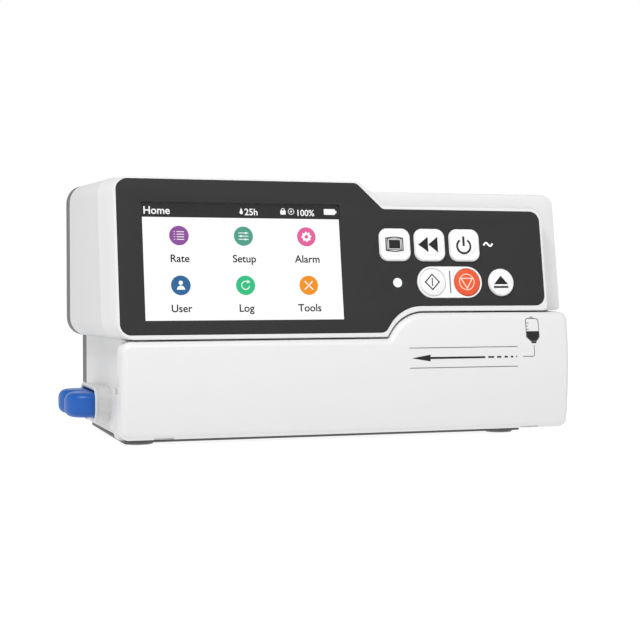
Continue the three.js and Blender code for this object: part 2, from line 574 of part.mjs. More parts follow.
function mechanismPlate() {
  const plate = alongY(rounded(PLATE_OUTLINE), [LOWER.front, PLATE.back]);
  const cheeks = BEARING.x.map((x) => block([x - BEARING.cheek / 2, x + BEARING.cheek / 2],
    [PLATE.back - 0.1, BEARING.back], BEARING.z));
  const lugs = HINGE.lugX.flatMap((x) => [
    block(lugSpan(x, 0), [HINGE.y, LOWER.front + 0.1], [HINGE.z - HINGE.lug + 0.3, HINGE.z + HINGE.lug]),
    rodX(HINGE.y, HINGE.z, HINGE.lug, lugSpan(x, 0)),
  ]);
  const firstEdge = fingerX(0) - FINGER.width / 2 - 0.5;
  const lastEdge = fingerX(FINGER.count - 1) + FINGER.width / 2 + 0.5;
  const sensorWindow = (x, half) => block([x - SENSOR.half - GAP, x + SENSOR.half + GAP], THROUGH,
    [CHANNEL.z - half - GAP, CHANNEL.z + half + GAP]);
  const fingerWindow = block([firstEdge, lastEdge], [0, PLATE.back + 1],
    [CHANNEL.z - FINGER.height / 2 - GAP, CHANNEL.z + FINGER.height / 2 + GAP]);
  return cut(join(plate, ...cheeks, ...lugs), fingerWindow,
    sensorWindow(SENSOR.downstream, SENSOR.high), sensorWindow(SENSOR.upstream, SENSOR.high),
    sensorWindow(SENSOR.bubble, FORK.high),
    ...HOOK.x.map((x) => block([x - HOOK_WINDOW.half, x + HOOK_WINDOW.half], THROUGH,
      HOOK_WINDOW.z)),
    ...BEARING.x.map((x) => rodX(CAM.y, CHANNEL.z, BEARING.radius + 0.3,
      [x - BEARING.cheek, x + BEARING.cheek])),
    rodX(HINGE.y, HINGE.z, HINGE.rod + GAP, ACROSS, 12));
}

function pressureSensor(x) {
  const { half, y, high, button } = SENSOR;
  return join(block([x - half, x + half], y, [CHANNEL.z - high, CHANNEL.z + high]),
    rodY(x, CHANNEL.z, button, [LOWER.front, y[0] + 0.6], 12));
}

// An ultrasonic fork: the tubing lies in the slot between its two horns.
function bubbleSensor(x) {
  const { half } = SENSOR;
  return cut(block([x - half, x + half], FORK.y, [CHANNEL.z - FORK.high, CHANNEL.z + FORK.high]),
    block([x - half - 1, x + half + 1], [0, LOWER.front],
      [CHANNEL.z - CHANNEL.half, CHANNEL.z + CHANNEL.half]));
}

function finger(i) {
  const x = fingerX(i);
  const front = FINGER_FRONT + fingerBack(i);
  const nose = 2;
  const outline = [[front, -FINGER.height / 2, nose], [front + FINGER.length, -FINGER.height / 2, 0],
    [front + FINGER.length, FINGER.height / 2, 0], [front, FINGER.height / 2, nose]];
  return alongX(rounded(outline), [x - FINGER.width / 2, x + FINGER.width / 2])
    .translate(0, 0, CHANNEL.z);
}

function camshaft() {
  const cams = Array.from({ length: FINGER.count }, (_, i) => {
    const phase = fingerPhase(i);
    return rodX(CAM.y - CAM.offset * Math.cos(phase), CHANNEL.z + CAM.offset * Math.sin(phase),
      CAM.radius, [fingerX(i) - FINGER.width / 2, fingerX(i) + FINGER.width / 2], 20);
  });
  return join(rodX(CAM.y, CHANNEL.z, CAM.shaft, CAM.x, 12), ...cams);
}

const bearing = (x) => cut(
  rodX(CAM.y, CHANNEL.z, BEARING.radius, [x - BEARING.width / 2, x + BEARING.width / 2], 20),
  rodX(CAM.y, CHANNEL.z, CAM.shaft + 0.3, [x - 5, x + 5], 12));

// A toothed-belt pulley with a rim on each side of the belt.
function pulley(y, radius, bore) {
  const [x0, x1] = PULLEY.x;
  const tread = rodX(y, CHANNEL.z, radius, PULLEY.x, 24);
  const rims = [[x0 - PULLEY.rim, x0], [x1, x1 + PULLEY.rim]].map((x) =>
    rodX(y, CHANNEL.z, radius + 1, [x[0] - 0.01, x[1] + 0.01], 24));
  const wheel = join(tread, ...rims);
  return bore ? cut(wheel, rodX(y, CHANNEL.z, bore, [x0 - 5, x1 + 5], 12)) : wheel;
}

function beltLoop(extra) {
  const large = PULLEY.cam + extra;
  const small = PULLEY.motor + extra;
  const angle = Math.acos((large - small) / (MOTOR.y - CAM.y));
  const shape = new THREE.Shape();
  shape.absarc(CAM.y, CHANNEL.z, large, angle, 2 * Math.PI - angle);
  shape.absarc(MOTOR.y, CHANNEL.z, small, -angle, angle);
  shape.closePath();
  return shape;
}

function driveBelt() {
  const clear = 0.35;
  return cut(alongX(beltLoop(clear + BELT.thick), BELT.x, 9),
    alongX(beltLoop(clear), [BELT.x[0] - 1, BELT.x[1] + 1], 9));
}

function motorBody() {
  const { y, half, x } = MOTOR;
  const can = rounded([[y - half, CHANNEL.z - half, 4], [y + half, CHANNEL.z - half, 4],
    [y + half, CHANNEL.z + half, 4], [y - half, CHANNEL.z + half, 4]]);
  return cut(join(alongX(can, x, 1), rodX(y, CHANNEL.z, 11, [x[1] - 1, x[1] + 2], 20)),
    rodX(y, CHANNEL.z, MOTOR.shaft + 0.5, [x[1] - 12, x[1] + 4], 12));
}

function motorRotor() {
  const [, end] = MOTOR.x;
  return join(rodX(MOTOR.y, CHANNEL.z, MOTOR.shaft, [end - 11, PULLEY.x[1] + 3], 12),
    pulley(MOTOR.y, PULLEY.motor));
}

function addMechanism() {
  part('mechanism_plate', mechanismPlate(), ALLOY);
  Array.from({ length: FINGER.count }, (_, i) =>
    part(`finger_${i + 1}`, finger(i), ENGINEERING));
  part('camshaft', camshaft(), STEEL);
  part('camshaft_bearing_left', bearing(BEARING.x[0]), STEEL);
  part('camshaft_bearing_right', bearing(BEARING.x[1]), STEEL);
  part('camshaft_pulley', pulley(CAM.y, PULLEY.cam, CAM.shaft + 0.3), ALLOY);
  part('motor_pulley', motorRotor(), ALLOY);
  part('drive_belt', driveBelt(), RUBBER);
  part('stepper_motor', motorBody(), MAGNET);
  part('downstream_sensor', pressureSensor(SENSOR.downstream), ENGINEERING);
  part('upstream_sensor', pressureSensor(SENSOR.upstream), ENGINEERING);
  part('bubble_sensor', bubbleSensor(SENSOR.bubble), DARK);
}

// ---------------------------------------------------------------- side release
function releaseGrip() {
  const plan = new THREE.Shape();
  const { lobe, lobeX, back } = GRIP;
  plan.moveTo(back, RELEASE.y - 2 * lobe);
  plan.lineTo(back, RELEASE.y + 2 * lobe);
  plan.lineTo(lobeX, RELEASE.y + 2 * lobe);
  plan.absarc(lobeX, RELEASE.y + lobe, lobe, Math.PI / 2, 1.5 * Math.PI);
  plan.absarc(lobeX, RELEASE.y - lobe, lobe, Math.PI / 2, 1.5 * Math.PI);
  plan.closePath();
  const section = rounded(rectangleCorners(BOSS.y, BOSS.z, BOSS.corner), BOSS.rim + GAP);
  return common(alongZ(plan, BOSS.z, 6), alongX(section, [-30, 10], 3));
}

class Coil extends THREE.Curve {
  getPoint(t, target = new THREE.Vector3()) {
    const angle = 2 * Math.PI * COIL.turns * t;
    return target.set(COIL.length * t, COIL.radius * Math.cos(angle),
      COIL.radius * Math.sin(angle));
  }
}

function releaseSpring() {
  return new THREE.ExtrudeGeometry(disc(0, 0, COIL.wire), {
    steps: COIL.turns * COIL.stepsPerTurn,
    extrudePath: new Coil(),
    bevelEnabled: false,
    curveSegments: 3,
  }).translate(COIL.start, RELEASE.y, RELEASE.z);
}

function addRelease() {
  const beside = drafted(alongY(rounded(CASE_OUTLINE, -0.1), BOSS.y));
  part('side_boss', cut(alongX(rectangle(BOSS.y, BOSS.z, BOSS.corner), BOSS.x, 3),
    bossPocket([-10, 10]), beside), WHITE);
  part('release_grip', releaseGrip(), BLUE);
  part('release_rod', join(rodX(RELEASE.y, RELEASE.z, RELEASE.rod, [-0.1, RELEASE.rodEnd], 12),
    block([RELEASE.rodEnd - ROD_FOOT.thick, RELEASE.rodEnd], ROD_FOOT.y, ROD_FOOT.z)
      .translate(0, RELEASE.y, RELEASE.z)), STEEL);
  part('release_spring', releaseSpring(), STEEL);
}

// ---------------------------------------------------------------- power, data and sound
function mainsInlet() {
  const { x, z, width, height, socket, front, deep } = INLET;
  const back = COVER.back - 0.2;
  const floor = back - deep;
  const pins = PIN.places.map(([dx, dz]) =>
    alongY(square(x + dx, z + dz, PIN.width, PIN.height, 0), [floor - 1, floor + PIN.proud]));
  const cup = cut(alongY(square(x, z, width, height, 1), [front, back]),
    alongY(square(x, z, ...socket, 2), [floor, back + 1]));
  return join(cup, ...pins);
}

function dataPort() {
  const { x, z, width, height, socket, front, deep } = PORT;
  const back = COVER.back - 0.2;
  return cut(alongY(square(x, z, width, height, 0), [front, back]),
    alongY(square(x, z, ...socket, 0), [back - deep, back + 1]));
}

function powerSupply() {
  const { x, y: places, radius, z } = SUPPLY.capacitors;
  const capacitors = places.map((y) => alongZ(disc(x, y, radius), z, SMALL_ROUND_CURVE));
  return join(block(...SUPPLY.board), block(...SUPPLY.transformer), block(...SUPPLY.heatSink),
    ...capacitors);
}

function addServices() {
  part('battery_pack', alongX(rectangle(BATTERY.y, BATTERY.z, BATTERY.corner), BATTERY.x),
    BATTERY_WRAP);
  part('power_supply', powerSupply(), BOARD);
  part('mains_inlet', mainsInlet(), DARK);
  part('data_port', dataPort(), STEEL);
  part('earth_terminal', join(rodY(EARTH.x, EARTH.z, EARTH.hole - GAP, EARTH.flange),
    rodY(EARTH.x, EARTH.z, EARTH.pin, EARTH.pinY, 14)), BRASS);
  part('speaker', join(rodY(SPEAKER.x, SPEAKER.z, SPEAKER.radius, SPEAKER.y),
    rodY(SPEAKER.x, SPEAKER.z, MAGNET_CUP.radius, MAGNET_CUP.y)), MAGNET);
}

addFront();
addCase();
addDoor();
addMechanism();
addRelease();
addServices();

// The origin is the middle of the footprint, on the surface that the feet stand on.
const outerX = [GRIP.lobeX - GRIP.lobe, UPPER.right];
const outerY = [DOOR_FACE.y, COVER.back];
pump.position.set(-between(outerX), -between(outerY), -FOOT.z[0]);

export default pump;
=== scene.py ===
"""Volumetric infusion pump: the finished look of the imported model.

Sizes are millimetres from the lower left corner of the sloping front panel (+X right, +Y back,
+Z up), which is found from the frame; every mesh is turned into the frame's metres when made.
"""
import json
import math

import bmesh
import bpy
from mathutils import Matrix, Vector


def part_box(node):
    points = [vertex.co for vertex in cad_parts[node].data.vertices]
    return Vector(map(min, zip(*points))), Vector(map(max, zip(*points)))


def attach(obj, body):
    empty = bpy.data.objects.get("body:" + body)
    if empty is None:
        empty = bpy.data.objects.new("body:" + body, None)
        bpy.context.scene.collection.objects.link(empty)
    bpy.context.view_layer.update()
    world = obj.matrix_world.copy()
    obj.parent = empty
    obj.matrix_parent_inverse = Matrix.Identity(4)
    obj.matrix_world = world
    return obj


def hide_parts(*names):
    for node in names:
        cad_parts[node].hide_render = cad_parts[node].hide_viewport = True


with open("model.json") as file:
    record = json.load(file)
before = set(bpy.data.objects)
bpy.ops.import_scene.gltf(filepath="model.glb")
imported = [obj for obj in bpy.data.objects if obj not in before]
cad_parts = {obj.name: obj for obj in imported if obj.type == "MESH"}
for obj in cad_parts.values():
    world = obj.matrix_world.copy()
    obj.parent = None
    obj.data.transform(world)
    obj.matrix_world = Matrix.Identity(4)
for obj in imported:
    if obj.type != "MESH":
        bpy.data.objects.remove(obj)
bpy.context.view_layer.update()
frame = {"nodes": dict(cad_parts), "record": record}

# ---------------------------------------------------------------- driving dimensions
MM = 0.001
TILT = math.radians(9.64)      # the front panel leans back by this angle
PANEL_THICK = 0.9
CORNER_STEPS = 10              # segments in one rounded corner
MERGE_DISTANCE = 1e-4          # points nearer than this are one point

SEAM_DEPTH = 17.5              # joint between front shell and rear housing, behind the panel
PLATEAU_DEPTH = 9.5            # height of the raised field over the shell's flange
COVER_FRONT, COVER_BACK = 116.0, 130.0
BODY_FRONT = 9.5               # front of the lower body, behind the door
SHELL_WALL = 2.1

KEY_ROW_UPPER, KEY_ROW_LOWER = 42.6, 24.2
SQUARE_KEYS = {"key_menu": 134.3, "key_rewind": 152.35, "key_power": 170.6}
ROUND_KEYS = {"key_start": 152.7, "key_stop": 170.8, "key_open": 189.0}
SQUARE_KEY_SIZE, SQUARE_KEY_CORNER = 15.4, 4.0
ROUND_KEY_RADIUS = 6.5
KEY_PROUD = 1.2
KEY_CLEARANCE = 0.35
KEY_HOLE = SQUARE_KEY_SIZE + 2 * KEY_CLEARANCE
ROUND_HOLE = ROUND_KEY_RADIUS + KEY_CLEARANCE
SQUARE_CROWN, ROUND_CROWN = 0.4, 0.35   # how far each dome rises over its key's edge
PILL = (161.8, 24.3)                    # middle of the start and stop keys' surround
STATUS_LIGHT = (134.8, 24.1, 2.2)       # x, s and radius
MAINS_SIGN = (183.5, 43.2)

SCREEN_X, SCREEN_S = (11.85, 106.9), (6.7, 61.5)
STATUS_BAR_S = 54.9
PRINT_HEIGHT = 0.05            # thickness of printed graphics

DOOR_BACK = 9.0
DOOR_FACE_Y, DOOR_FACE_Z, DOOR_FACE_RADIUS = -3.2, -20.0, 150.0
HINGE_Y, HINGE_Z, HINGE_SWEEP = 3.2, -43.5, 5.8

# Outlines in (x, z) as [x, z, corner radius], anticlockwise seen from the front.
CASE = [[3.5, -49, 2], [223, -49, 3], [223, 9.9, 0], [225.5, 9.9, 1], [225.5, 68.3, 5],
        [128, 68.3, 4], [118.5, 72.5, 6], [-5.5, 72.5, 9], [-5.5, -2.3, 9], [3.5, -2.3, 0]]
DOOR = [[0, -48, 4], [223.6, -48, 4], [223.6, 9.25, 4], [136.6, 9.25, 20], [128.6, -2.95, 0.8],
        [0, -2.95, 5]]
# The dark panel, in (x, s) with s up the slope.
PANEL = [[0, 0, 5], [127.2, 0, 4], [136, 12.75, 20], [212.2, 12.75, 5], [212.2, 60, 5],
         [129.2, 60, 3], [116.4, 72.6, 4], [0, 72.6, 5]]

PANEL_LOW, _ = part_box("fascia_panel")
ORIGIN = PANEL_LOW + Vector((0, 0, PANEL_THICK * MM * math.sin(TILT)))
UPRIGHT = Matrix.Translation(ORIGIN) @ Matrix.Scale(MM, 4)
UP_SLOPE = Vector((0, math.sin(TILT), math.cos(TILT)))
OUT_OF_PANEL = Vector((0, -math.cos(TILT), math.sin(TILT)))
# Local x right, y up the slope and z out of the panel.
ON_PANEL = UPRIGHT @ Matrix((Vector((1, 0, 0)), UP_SLOPE, OUT_OF_PANEL)).transposed().to_4x4()
# Local x right, y up and z towards the front.
FACING_FRONT = UPRIGHT @ Matrix.Rotation(math.radians(90), 4, "X")
# Local x back, y up and z towards the left.
FACING_LEFT = UPRIGHT @ Matrix(((0, 0, -1, 0), (1, 0, 0, 0), (0, 1, 0, 0), (0, 0, 0, 1)))
# Local x left, y up and z towards the back.
FACING_BACK = UPRIGHT @ Matrix.Rotation(math.radians(180), 4, "Z") @ Matrix.Rotation(
    math.radians(90), 4, "X")


# ---------------------------------------------------------------- outlines
def inset_corners(corners, inset):
    """Moves each edge of an outline inwards, keeping round corners concentric."""
    moved = []
    for i, (x, y, radius) in enumerate(corners):
        corner = Vector((x, y))
        before = (corner - Vector(corners[i - 1][:2])).normalized()
        after = (Vector(corners[(i + 1) % len(corners)][:2]) - corner).normalized()
        reach = inset / (1 + before.dot(after))
        convex = before.x * after.y - before.y * after.x > 0
        moved.append([x - (before.y + after.y) * reach, y + (before.x + after.x) * reach,
                      max(radius - inset, 0) if convex else radius + inset])
    return moved


def outline(corners, inset=0.0, steps=CORNER_STEPS):
    """Points round an outline; every corner gives steps + 1 points, so outlines can be lofted."""
    corners = inset_corners(corners, inset)
    points = []
    for i, (x, y, radius) in enumerate(corners):
        corner = Vector((x, y))
        before = (corner - Vector(corners[i - 1][:2])).normalized()
        after = (Vector(corners[(i + 1) % len(corners)][:2]) - corner).normalized()
        turn = math.atan2(before.x * after.y - before.y * after.x, before.dot(after))
        start = corner - before * radius * math.tan(abs(turn) / 2)
        side = math.copysign(1, turn)
        centre = start + Vector((-before.y, before.x)) * radius * side
        for k in range(steps + 1):
            spoke = start - centre
            spoke.rotate(Matrix.Rotation(turn * k / steps, 2))
            points.append(tuple(centre + spoke))
    return points


def rectangle(x, y, radius=0.0):
    return [[x[0], y[0], radius], [x[1], y[0], radius], [x[1], y[1], radius], [x[0], y[1], radius]]


def centred(x, y, width, height, radius=0.0):
    return rectangle((x - width / 2, x + width / 2), (y - height / 2, y + height / 2), radius)


def arc(x, y, radius, start=0.0, end=360.0, steps=48):
    closed = abs(end - start) >= 360
    count = steps if closed else steps + 1
    angles = (math.radians(start + (end - start) * k / steps) for k in range(count))
    return [(x + radius * math.cos(a), y + radius * math.sin(a)) for a in angles]


def stroke(points, width, closed=False):
    """The loops round a line of this width: one for an open line and two for a closed one."""
    half = width / 2
    count = len(points)
    sides = ([], [])
    for i, (x, y) in enumerate(points):
        here = Vector((x, y))
        before = Vector(points[i - 1]) if closed or i else here
        after = Vector(points[(i + 1) % count]) if closed or i < count - 1 else here
        first = (here - before).normalized() if (here - before).length > 1e-9 else None
        second = (after - here).normalized() if (after - here).length > 1e-9 else None
        first, second = first or second, second or first
        reach = half / max(1 + first.dot(second), 0.25)
        normal = Vector((-(first.y + second.y), first.x + second.x)) * reach
        sides[0].append(tuple(here + normal))
        sides[1].append(tuple(here - normal))
    return list(sides) if closed else [sides[0] + sides[1][::-1]]


def bar(x0, x1, y0, y1):
    return [(x0, y0), (x1, y0), (x1, y1), (x0, y1)]


def shifted(shapes, dx, dy):
    return [[[(x + dx, y + dy) for x, y in loop] for loop in loops] for loops in shapes]


# ---------------------------------------------------------------- mesh makers
def link(name, mesh):
    piece = bpy.data.objects.new(name, mesh)
    bpy.context.scene.collection.objects.link(piece)
    return piece


def smoothed(piece, sharp=32):
    piece.data.shade_smooth()
    piece.data.set_sharp_from_angle(angle=math.radians(sharp))
    return piece


def loft(name, rings, place=UPRIGHT, cap_first=False, cap_last=False, warp=None, slices=()):
    """A skin through rings of 3-D points; slices split the skin along these local z heights."""
    mesh = bmesh.new()
    rows = [[mesh.verts.new(point) for point in ring] for ring in rings]
    for lower, upper in zip(rows, rows[1:]):
        for k, vert in enumerate(lower):
            after = (k + 1) % len(lower)
            mesh.faces.new((vert, lower[after], upper[after], upper[k]))
    if cap_first:
        mesh.faces.new(reversed(rows[0]))
    if cap_last:
        mesh.faces.new(rows[-1])
    bmesh.ops.remove_doubles(mesh, verts=mesh.verts, dist=MERGE_DISTANCE)
    for height in slices:
        geometry = mesh.verts[:] + mesh.edges[:] + mesh.faces[:]
        bmesh.ops.bisect_plane(mesh, geom=geometry, plane_co=(0, 0, height),
                               plane_no=(0, 0, 1), dist=MERGE_DISTANCE)
    if warp:
        for vert in mesh.verts:
            vert.co = warp(vert.co)
    bmesh.ops.recalc_face_normals(mesh, faces=mesh.faces)
    mesh.transform(place)
    data = bpy.data.meshes.new(name)
    mesh.to_mesh(data)
    mesh.free()
    return link(name, data)


def flat_mesh(name, loops, depth, bevel):
    """A mesh filled between one outer loop and its holes, centred on its own plane."""
    curve = bpy.data.curves.new(name, "CURVE")
    curve.dimensions = "2D"
    curve.fill_mode = "BOTH"
    curve.extrude = depth / 2 - bevel
    curve.bevel_depth = bevel
    curve.bevel_resolution = 2
    curve.offset = -bevel
    for loop in loops:
        spline = curve.splines.new("POLY")
        spline.points.add(len(loop) - 1)
        for point, (x, y) in zip(spline.points, loop):
            point.co = (x, y, 0, 1)
        spline.use_cyclic_u = True
    shape = link(name, curve)
    bpy.context.view_layer.update()
    data = bpy.data.meshes.new_from_object(shape.evaluated_get(
        bpy.context.evaluated_depsgraph_get()))
    bpy.data.objects.remove(shape)
    bpy.data.curves.remove(curve)
    return data


def prints(name, shapes, place, low, high, bevel=0.0):
    """One piece made of several flat shapes, each a list of an outer loop and its holes."""
    mesh = bmesh.new()
    for loops in shapes:
        data = flat_mesh(name, loops, high - low, bevel)
        mesh.from_mesh(data)
        bpy.data.meshes.remove(data)
    bmesh.ops.remove_doubles(mesh, verts=mesh.verts, dist=MERGE_DISTANCE)
    bmesh.ops.recalc_face_normals(mesh, faces=mesh.faces)
    mesh.transform(place @ Matrix.Translation((0, 0, (low + high) / 2)))
    data = bpy.data.meshes.new(name)
    mesh.to_mesh(data)
    mesh.free()
    return link(name, data)


def plate(name, loops, place, low, high, bevel=0.0):
    """A flat piece with holes, from one local height to another."""
    return prints(name, [loops], place, low, high, bevel)


def lathe(name, profile, place, steps=48):
    """A turned piece: profile points are (radius, height), from the bottom to the top."""
    rings = [[(*point, height) for point in arc(0, 0, max(radius, 1e-3), steps=steps)]
             for radius, height in profile]
    return loft(name, rings, place, cap_first=True, cap_last=True)


def bake(piece):
    """Makes the result of the piece's modifiers its own mesh."""
    bpy.context.view_layer.update()
    data = bpy.data.meshes.new_from_object(piece.evaluated_get(
        bpy.context.evaluated_depsgraph_get()))
    piece.modifiers.clear()
    piece.data = data
    return piece


def thicken(piece, thickness):
    solidify = piece.modifiers.new("wall", "SOLIDIFY")
    solidify.thickness = thickness * MM
    solidify.offset = -1
    solidify.use_even_offset = True
    return bake(piece)


def cut(piece, *cutters):
    """Takes the cutters out of the piece, and removes them."""
    for tool in cutters:
        boolean = piece.modifiers.new("cut", "BOOLEAN")
        boolean.object = tool
        boolean.solver = "EXACT"
    bake(piece)
    for tool in cutters:
        bpy.data.objects.remove(tool)
    return piece


def cutter(corners, place, low, high):
    return plate("cutter", [outline(corners)], place, low, high)


def round_cutter(x, y, radius, place, low, high):
    return plate("cutter", [arc(x, y, radius)], place, low, high)


def block_cutter(x, y, z):
    return plate("cutter", [outline(rectangle(x, y), steps=1)], UPRIGHT, *z)


def place_piece(piece, body, slot, material, *nodes):
    """Gives a finished piece its material and its body, and hides the CAD nodes that it stands
    for. The slot is not used.
    """
    piece.data.materials.clear()
    piece.data.materials.append(material)
    if nodes:
        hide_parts(*nodes)
    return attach(piece, body)


def on_case(piece, slot, material_, *nodes):
    """Smooths and places a piece that rides on the case."""
    return place_piece(smoothed(piece), "case", slot, material_, *nodes)


# ---------------------------------------------------------------- materials
def material(name, color, roughness, metallic=0.0, **extra):
    made = bpy.data.materials.new(name)
    made.use_nodes = True
    shader = made.node_tree.nodes["Principled BSDF"]
    shader.inputs["Base Color"].default_value = (*color, 1)
    shader.inputs["Roughness"].default_value = roughness
    shader.inputs["Metallic"].default_value = metallic
    for socket, value in extra.items():
        shader.inputs[socket.replace("_", " ")].default_value = value
    return made


def add(material_, kind, **values):
    node = material_.node_tree.nodes.new(kind)
    for key, value in values.items():
        if hasattr(node, key):
            setattr(node, key, value)
        else:
            node.inputs[key.replace("_", " ")].default_value = value
    return node


def grained(name, color, roughness, grain_mm, depth, tint=0.03, metallic=0.0, **extra):
    """A surface with fine moulded grain, slow colour variation and uneven gloss."""
    made = material(name, color, roughness, metallic, **extra)
    links = made.node_tree.links
    shader = made.node_tree.nodes["Principled BSDF"]
    place = add(made, "ShaderNodeTexCoord")
    grain = add(made, "ShaderNodeTexNoise", Scale=1 / (grain_mm * MM), Detail=3.0)
    slow = add(made, "ShaderNodeTexNoise", Scale=28.0, Detail=2.0)
    bump = add(made, "ShaderNodeBump", Strength=depth, Distance=0.0002)
    links.new(place.outputs["Object"], grain.inputs["Vector"])
    links.new(place.outputs["Object"], slow.inputs["Vector"])
    links.new(grain.outputs["Fac"], bump.inputs["Height"])
    links.new(bump.outputs["Normal"], shader.inputs["Normal"])
    shade = add(made, "ShaderNodeMapRange", To_Min=1 - tint, To_Max=1.0)
    links.new(slow.outputs["Fac"], shade.inputs["Value"])
    mix = add(made, "ShaderNodeMix", data_type="RGBA", blend_type="MULTIPLY")
    mix.inputs[0].default_value = 1.0
    mix.inputs[6].default_value = (*color, 1)
    links.new(shade.outputs["Result"], mix.inputs[7])
    links.new(mix.outputs[2], shader.inputs["Base Color"])
    gloss = add(made, "ShaderNodeMapRange", To_Min=roughness - 0.05, To_Max=roughness + 0.06)
    links.new(grain.outputs["Fac"], gloss.inputs["Value"])
    links.new(gloss.outputs["Result"], shader.inputs["Roughness"])
    return made


def brushed(name, color, roughness, stretch=(1, 1, 14)):
    """Machined metal with fine directional marks."""
    made = material(name, color, roughness, 1.0)
    links = made.node_tree.links
    shader = made.node_tree.nodes["Principled BSDF"]
    place = add(made, "ShaderNodeTexCoord")
    scale = add(made, "ShaderNodeMapping")
    scale.inputs["Scale"].default_value = stretch
    marks = add(made, "ShaderNodeTexNoise", Scale=900.0, Detail=4.0)
    bump = add(made, "ShaderNodeBump", Strength=0.12, Distance=0.0001)
    gloss = add(made, "ShaderNodeMapRange", To_Min=roughness - 0.08, To_Max=roughness + 0.12)
    links.new(place.outputs["Object"], scale.inputs["Vector"])
    links.new(scale.outputs["Vector"], marks.inputs["Vector"])
    links.new(marks.outputs["Fac"], bump.inputs["Height"])
    links.new(bump.outputs["Normal"], shader.inputs["Normal"])
    links.new(marks.outputs["Fac"], gloss.inputs["Value"])
    links.new(gloss.outputs["Result"], shader.inputs["Roughness"])
    return made


def glowing(name, color):
    """Part of the lit display, which shows its colour by its own light."""
    return material(name, (0.005, 0.005, 0.005), 0.5, Emission_Color=(*color, 1),
                    Emission_Strength=1.1, Specular_IOR_Level=0.05)


WHITE = grained("white_abs", (0.59, 0.59, 0.59), 0.42, 0.35, 0.10, 0.015)
# Painted light: the front shell and the door take a lighter copy of the same white plastic,
# standing in for the extra light that their front faces catch.
PAINTED_LIT_WHITE = grained("white_abs_painted_lit", (0.645, 0.645, 0.645), 0.42, 0.35, 0.10, 0.015)
PANEL_DARK = grained("panel_overlay", (0.028, 0.028, 0.029), 0.6, 0.2, 0.10, 0.06,
                     Specular_IOR_Level=0.12)
COVER_GREY = grained("grey_abs", (0.088, 0.088, 0.09), 0.55, 0.5, 0.3, 0.05)
KEY_WHITE = grained("key_silicone", (0.74, 0.74, 0.74), 0.5, 0.25, 0.08, 0.01)
KEY_ORANGE = grained("key_orange_silicone", (0.68, 0.085, 0.025), 0.48, 0.25, 0.08, 0.04,
                     Specular_IOR_Level=0.25)
BLUE = grained("blue_polymer", (0.008, 0.095, 0.40), 0.36, 0.5, 0.10, 0.08,
               Specular_IOR_Level=0.3)
BASE_GREY = grained("grey_base", (0.10, 0.10, 0.10), 0.6, 0.4, 0.3, 0.05)
FOOT_RUBBER = grained("grey_rubber", (0.24, 0.24, 0.24), 0.8, 0.4, 0.5, 0.1)
RUBBER = grained("black_rubber", (0.028, 0.028, 0.028), 0.8, 0.4, 0.5, 0.1)
DARK = grained("dark_polymer", (0.045, 0.045, 0.048), 0.55, 0.4, 0.25, 0.08)
NATURAL = grained("natural_acetal", (0.70, 0.68, 0.62), 0.4, 0.6, 0.08, 0.03)
BOARD_GREEN = grained("solder_mask", (0.02, 0.12, 0.05), 0.35, 0.8, 0.2, 0.2)
WRAP = grained("battery_wrap", (0.04, 0.09, 0.2), 0.35, 1.5, 0.2, 0.1)
STEEL = brushed("ground_steel", (0.6, 0.61, 0.62), 0.3)
ALLOY = brushed("milled_alloy", (0.66, 0.67, 0.68), 0.4, (14, 1, 1))
BRASS = brushed("turned_brass", (0.62, 0.42, 0.14), 0.3)
BLACK_STEEL = grained("black_coated_steel", (0.03, 0.03, 0.032), 0.45, 0.3, 0.2, 0.1, 0.3)
INK_DARK = grained("dark_print", (0.018, 0.018, 0.017), 0.5, 0.15, 0.15, 0.1,
                   Specular_IOR_Level=0.15)
INK_GREY = grained("grey_print", (0.12, 0.12, 0.12), 0.5, 0.15, 0.15, 0.1)
INK_WHITE = grained("white_print", (0.88, 0.88, 0.88), 0.5, 0.15, 0.1, 0.02)
INK_PALE = grained("pale_print", (0.9, 0.62, 0.5), 0.5, 0.15, 0.1, 0.02)
LIGHT_GUIDE = material("light_guide", (0.93, 0.93, 0.93), 0.3, Subsurface_Weight=0.3,
                       Emission_Color=(1, 1, 1, 1), Emission_Strength=0.25)
CLEAR = material("clear_window", (0.02, 0.02, 0.02), 0.04, Alpha=0.03)
SCREEN_WHITE = glowing("screen_white", (0.97, 0.97, 0.97))
SCREEN_BAR = glowing("screen_bar", (0.026, 0.026, 0.026))
SCREEN_TEXT = glowing("screen_text", (0.004, 0.004, 0.004))
SCREEN_LIGHT = glowing("screen_light", (0.95, 0.95, 0.95))


# ---------------------------------------------------------------- case
# How far the housing spreads by its back: (height, rise) and (x, spread), as a moulding does.
DRAFT_RISE = ((-49, 0.0), (-2.3, -1.7), (72.5, 2.6))
DRAFT_SPREAD = ((-5.5, -1.1), (3.5, -1.7), (225.5, 0.0))


def between(table, place):
    """A value read off a table of three straight-line points."""
    low, middle, high = table
    (a, p), (b, q) = (low, middle) if place < middle[0] else (middle, high)
    return p + (q - p) * (place - a) / (b - a)


def drafted(point):
    """The housing widens towards the back, as a moulding does."""
    x, y, z = point
    share = (y - BODY_FRONT) / (COVER_BACK - BODY_FRONT)
    return x + share * between(DRAFT_SPREAD, x), y, z + share * between(DRAFT_RISE, z)


def depth_to_y(depth, z):
    """The design's y of a point at this depth behind the sloping panel's plane."""
    return (depth + z * math.sin(TILT)) / math.cos(TILT)


def sloping_ring(corners, depth, inset=0.0, widened=False):
    ring = [(x, depth_to_y(depth, z), z) for x, z in outline(corners, inset)]
    return [drafted(point) for point in ring] if widened else ring


def shell_corners(left, right, top_right, diagonal):
    """The front shell's outline, with a diagonal from its high left to its low right top."""
    (high_x, high_z), (low_x, low_z) = diagonal
    return [[left, -2.3, 8], [128.2, -2.3, 0.9], [136.3, 9.9, 20.5], [right, 9.9, 2.5],
            [right, top_right, 5.5], [low_x, low_z, 4], [high_x, high_z, 6], [left, 72.5, 8]]


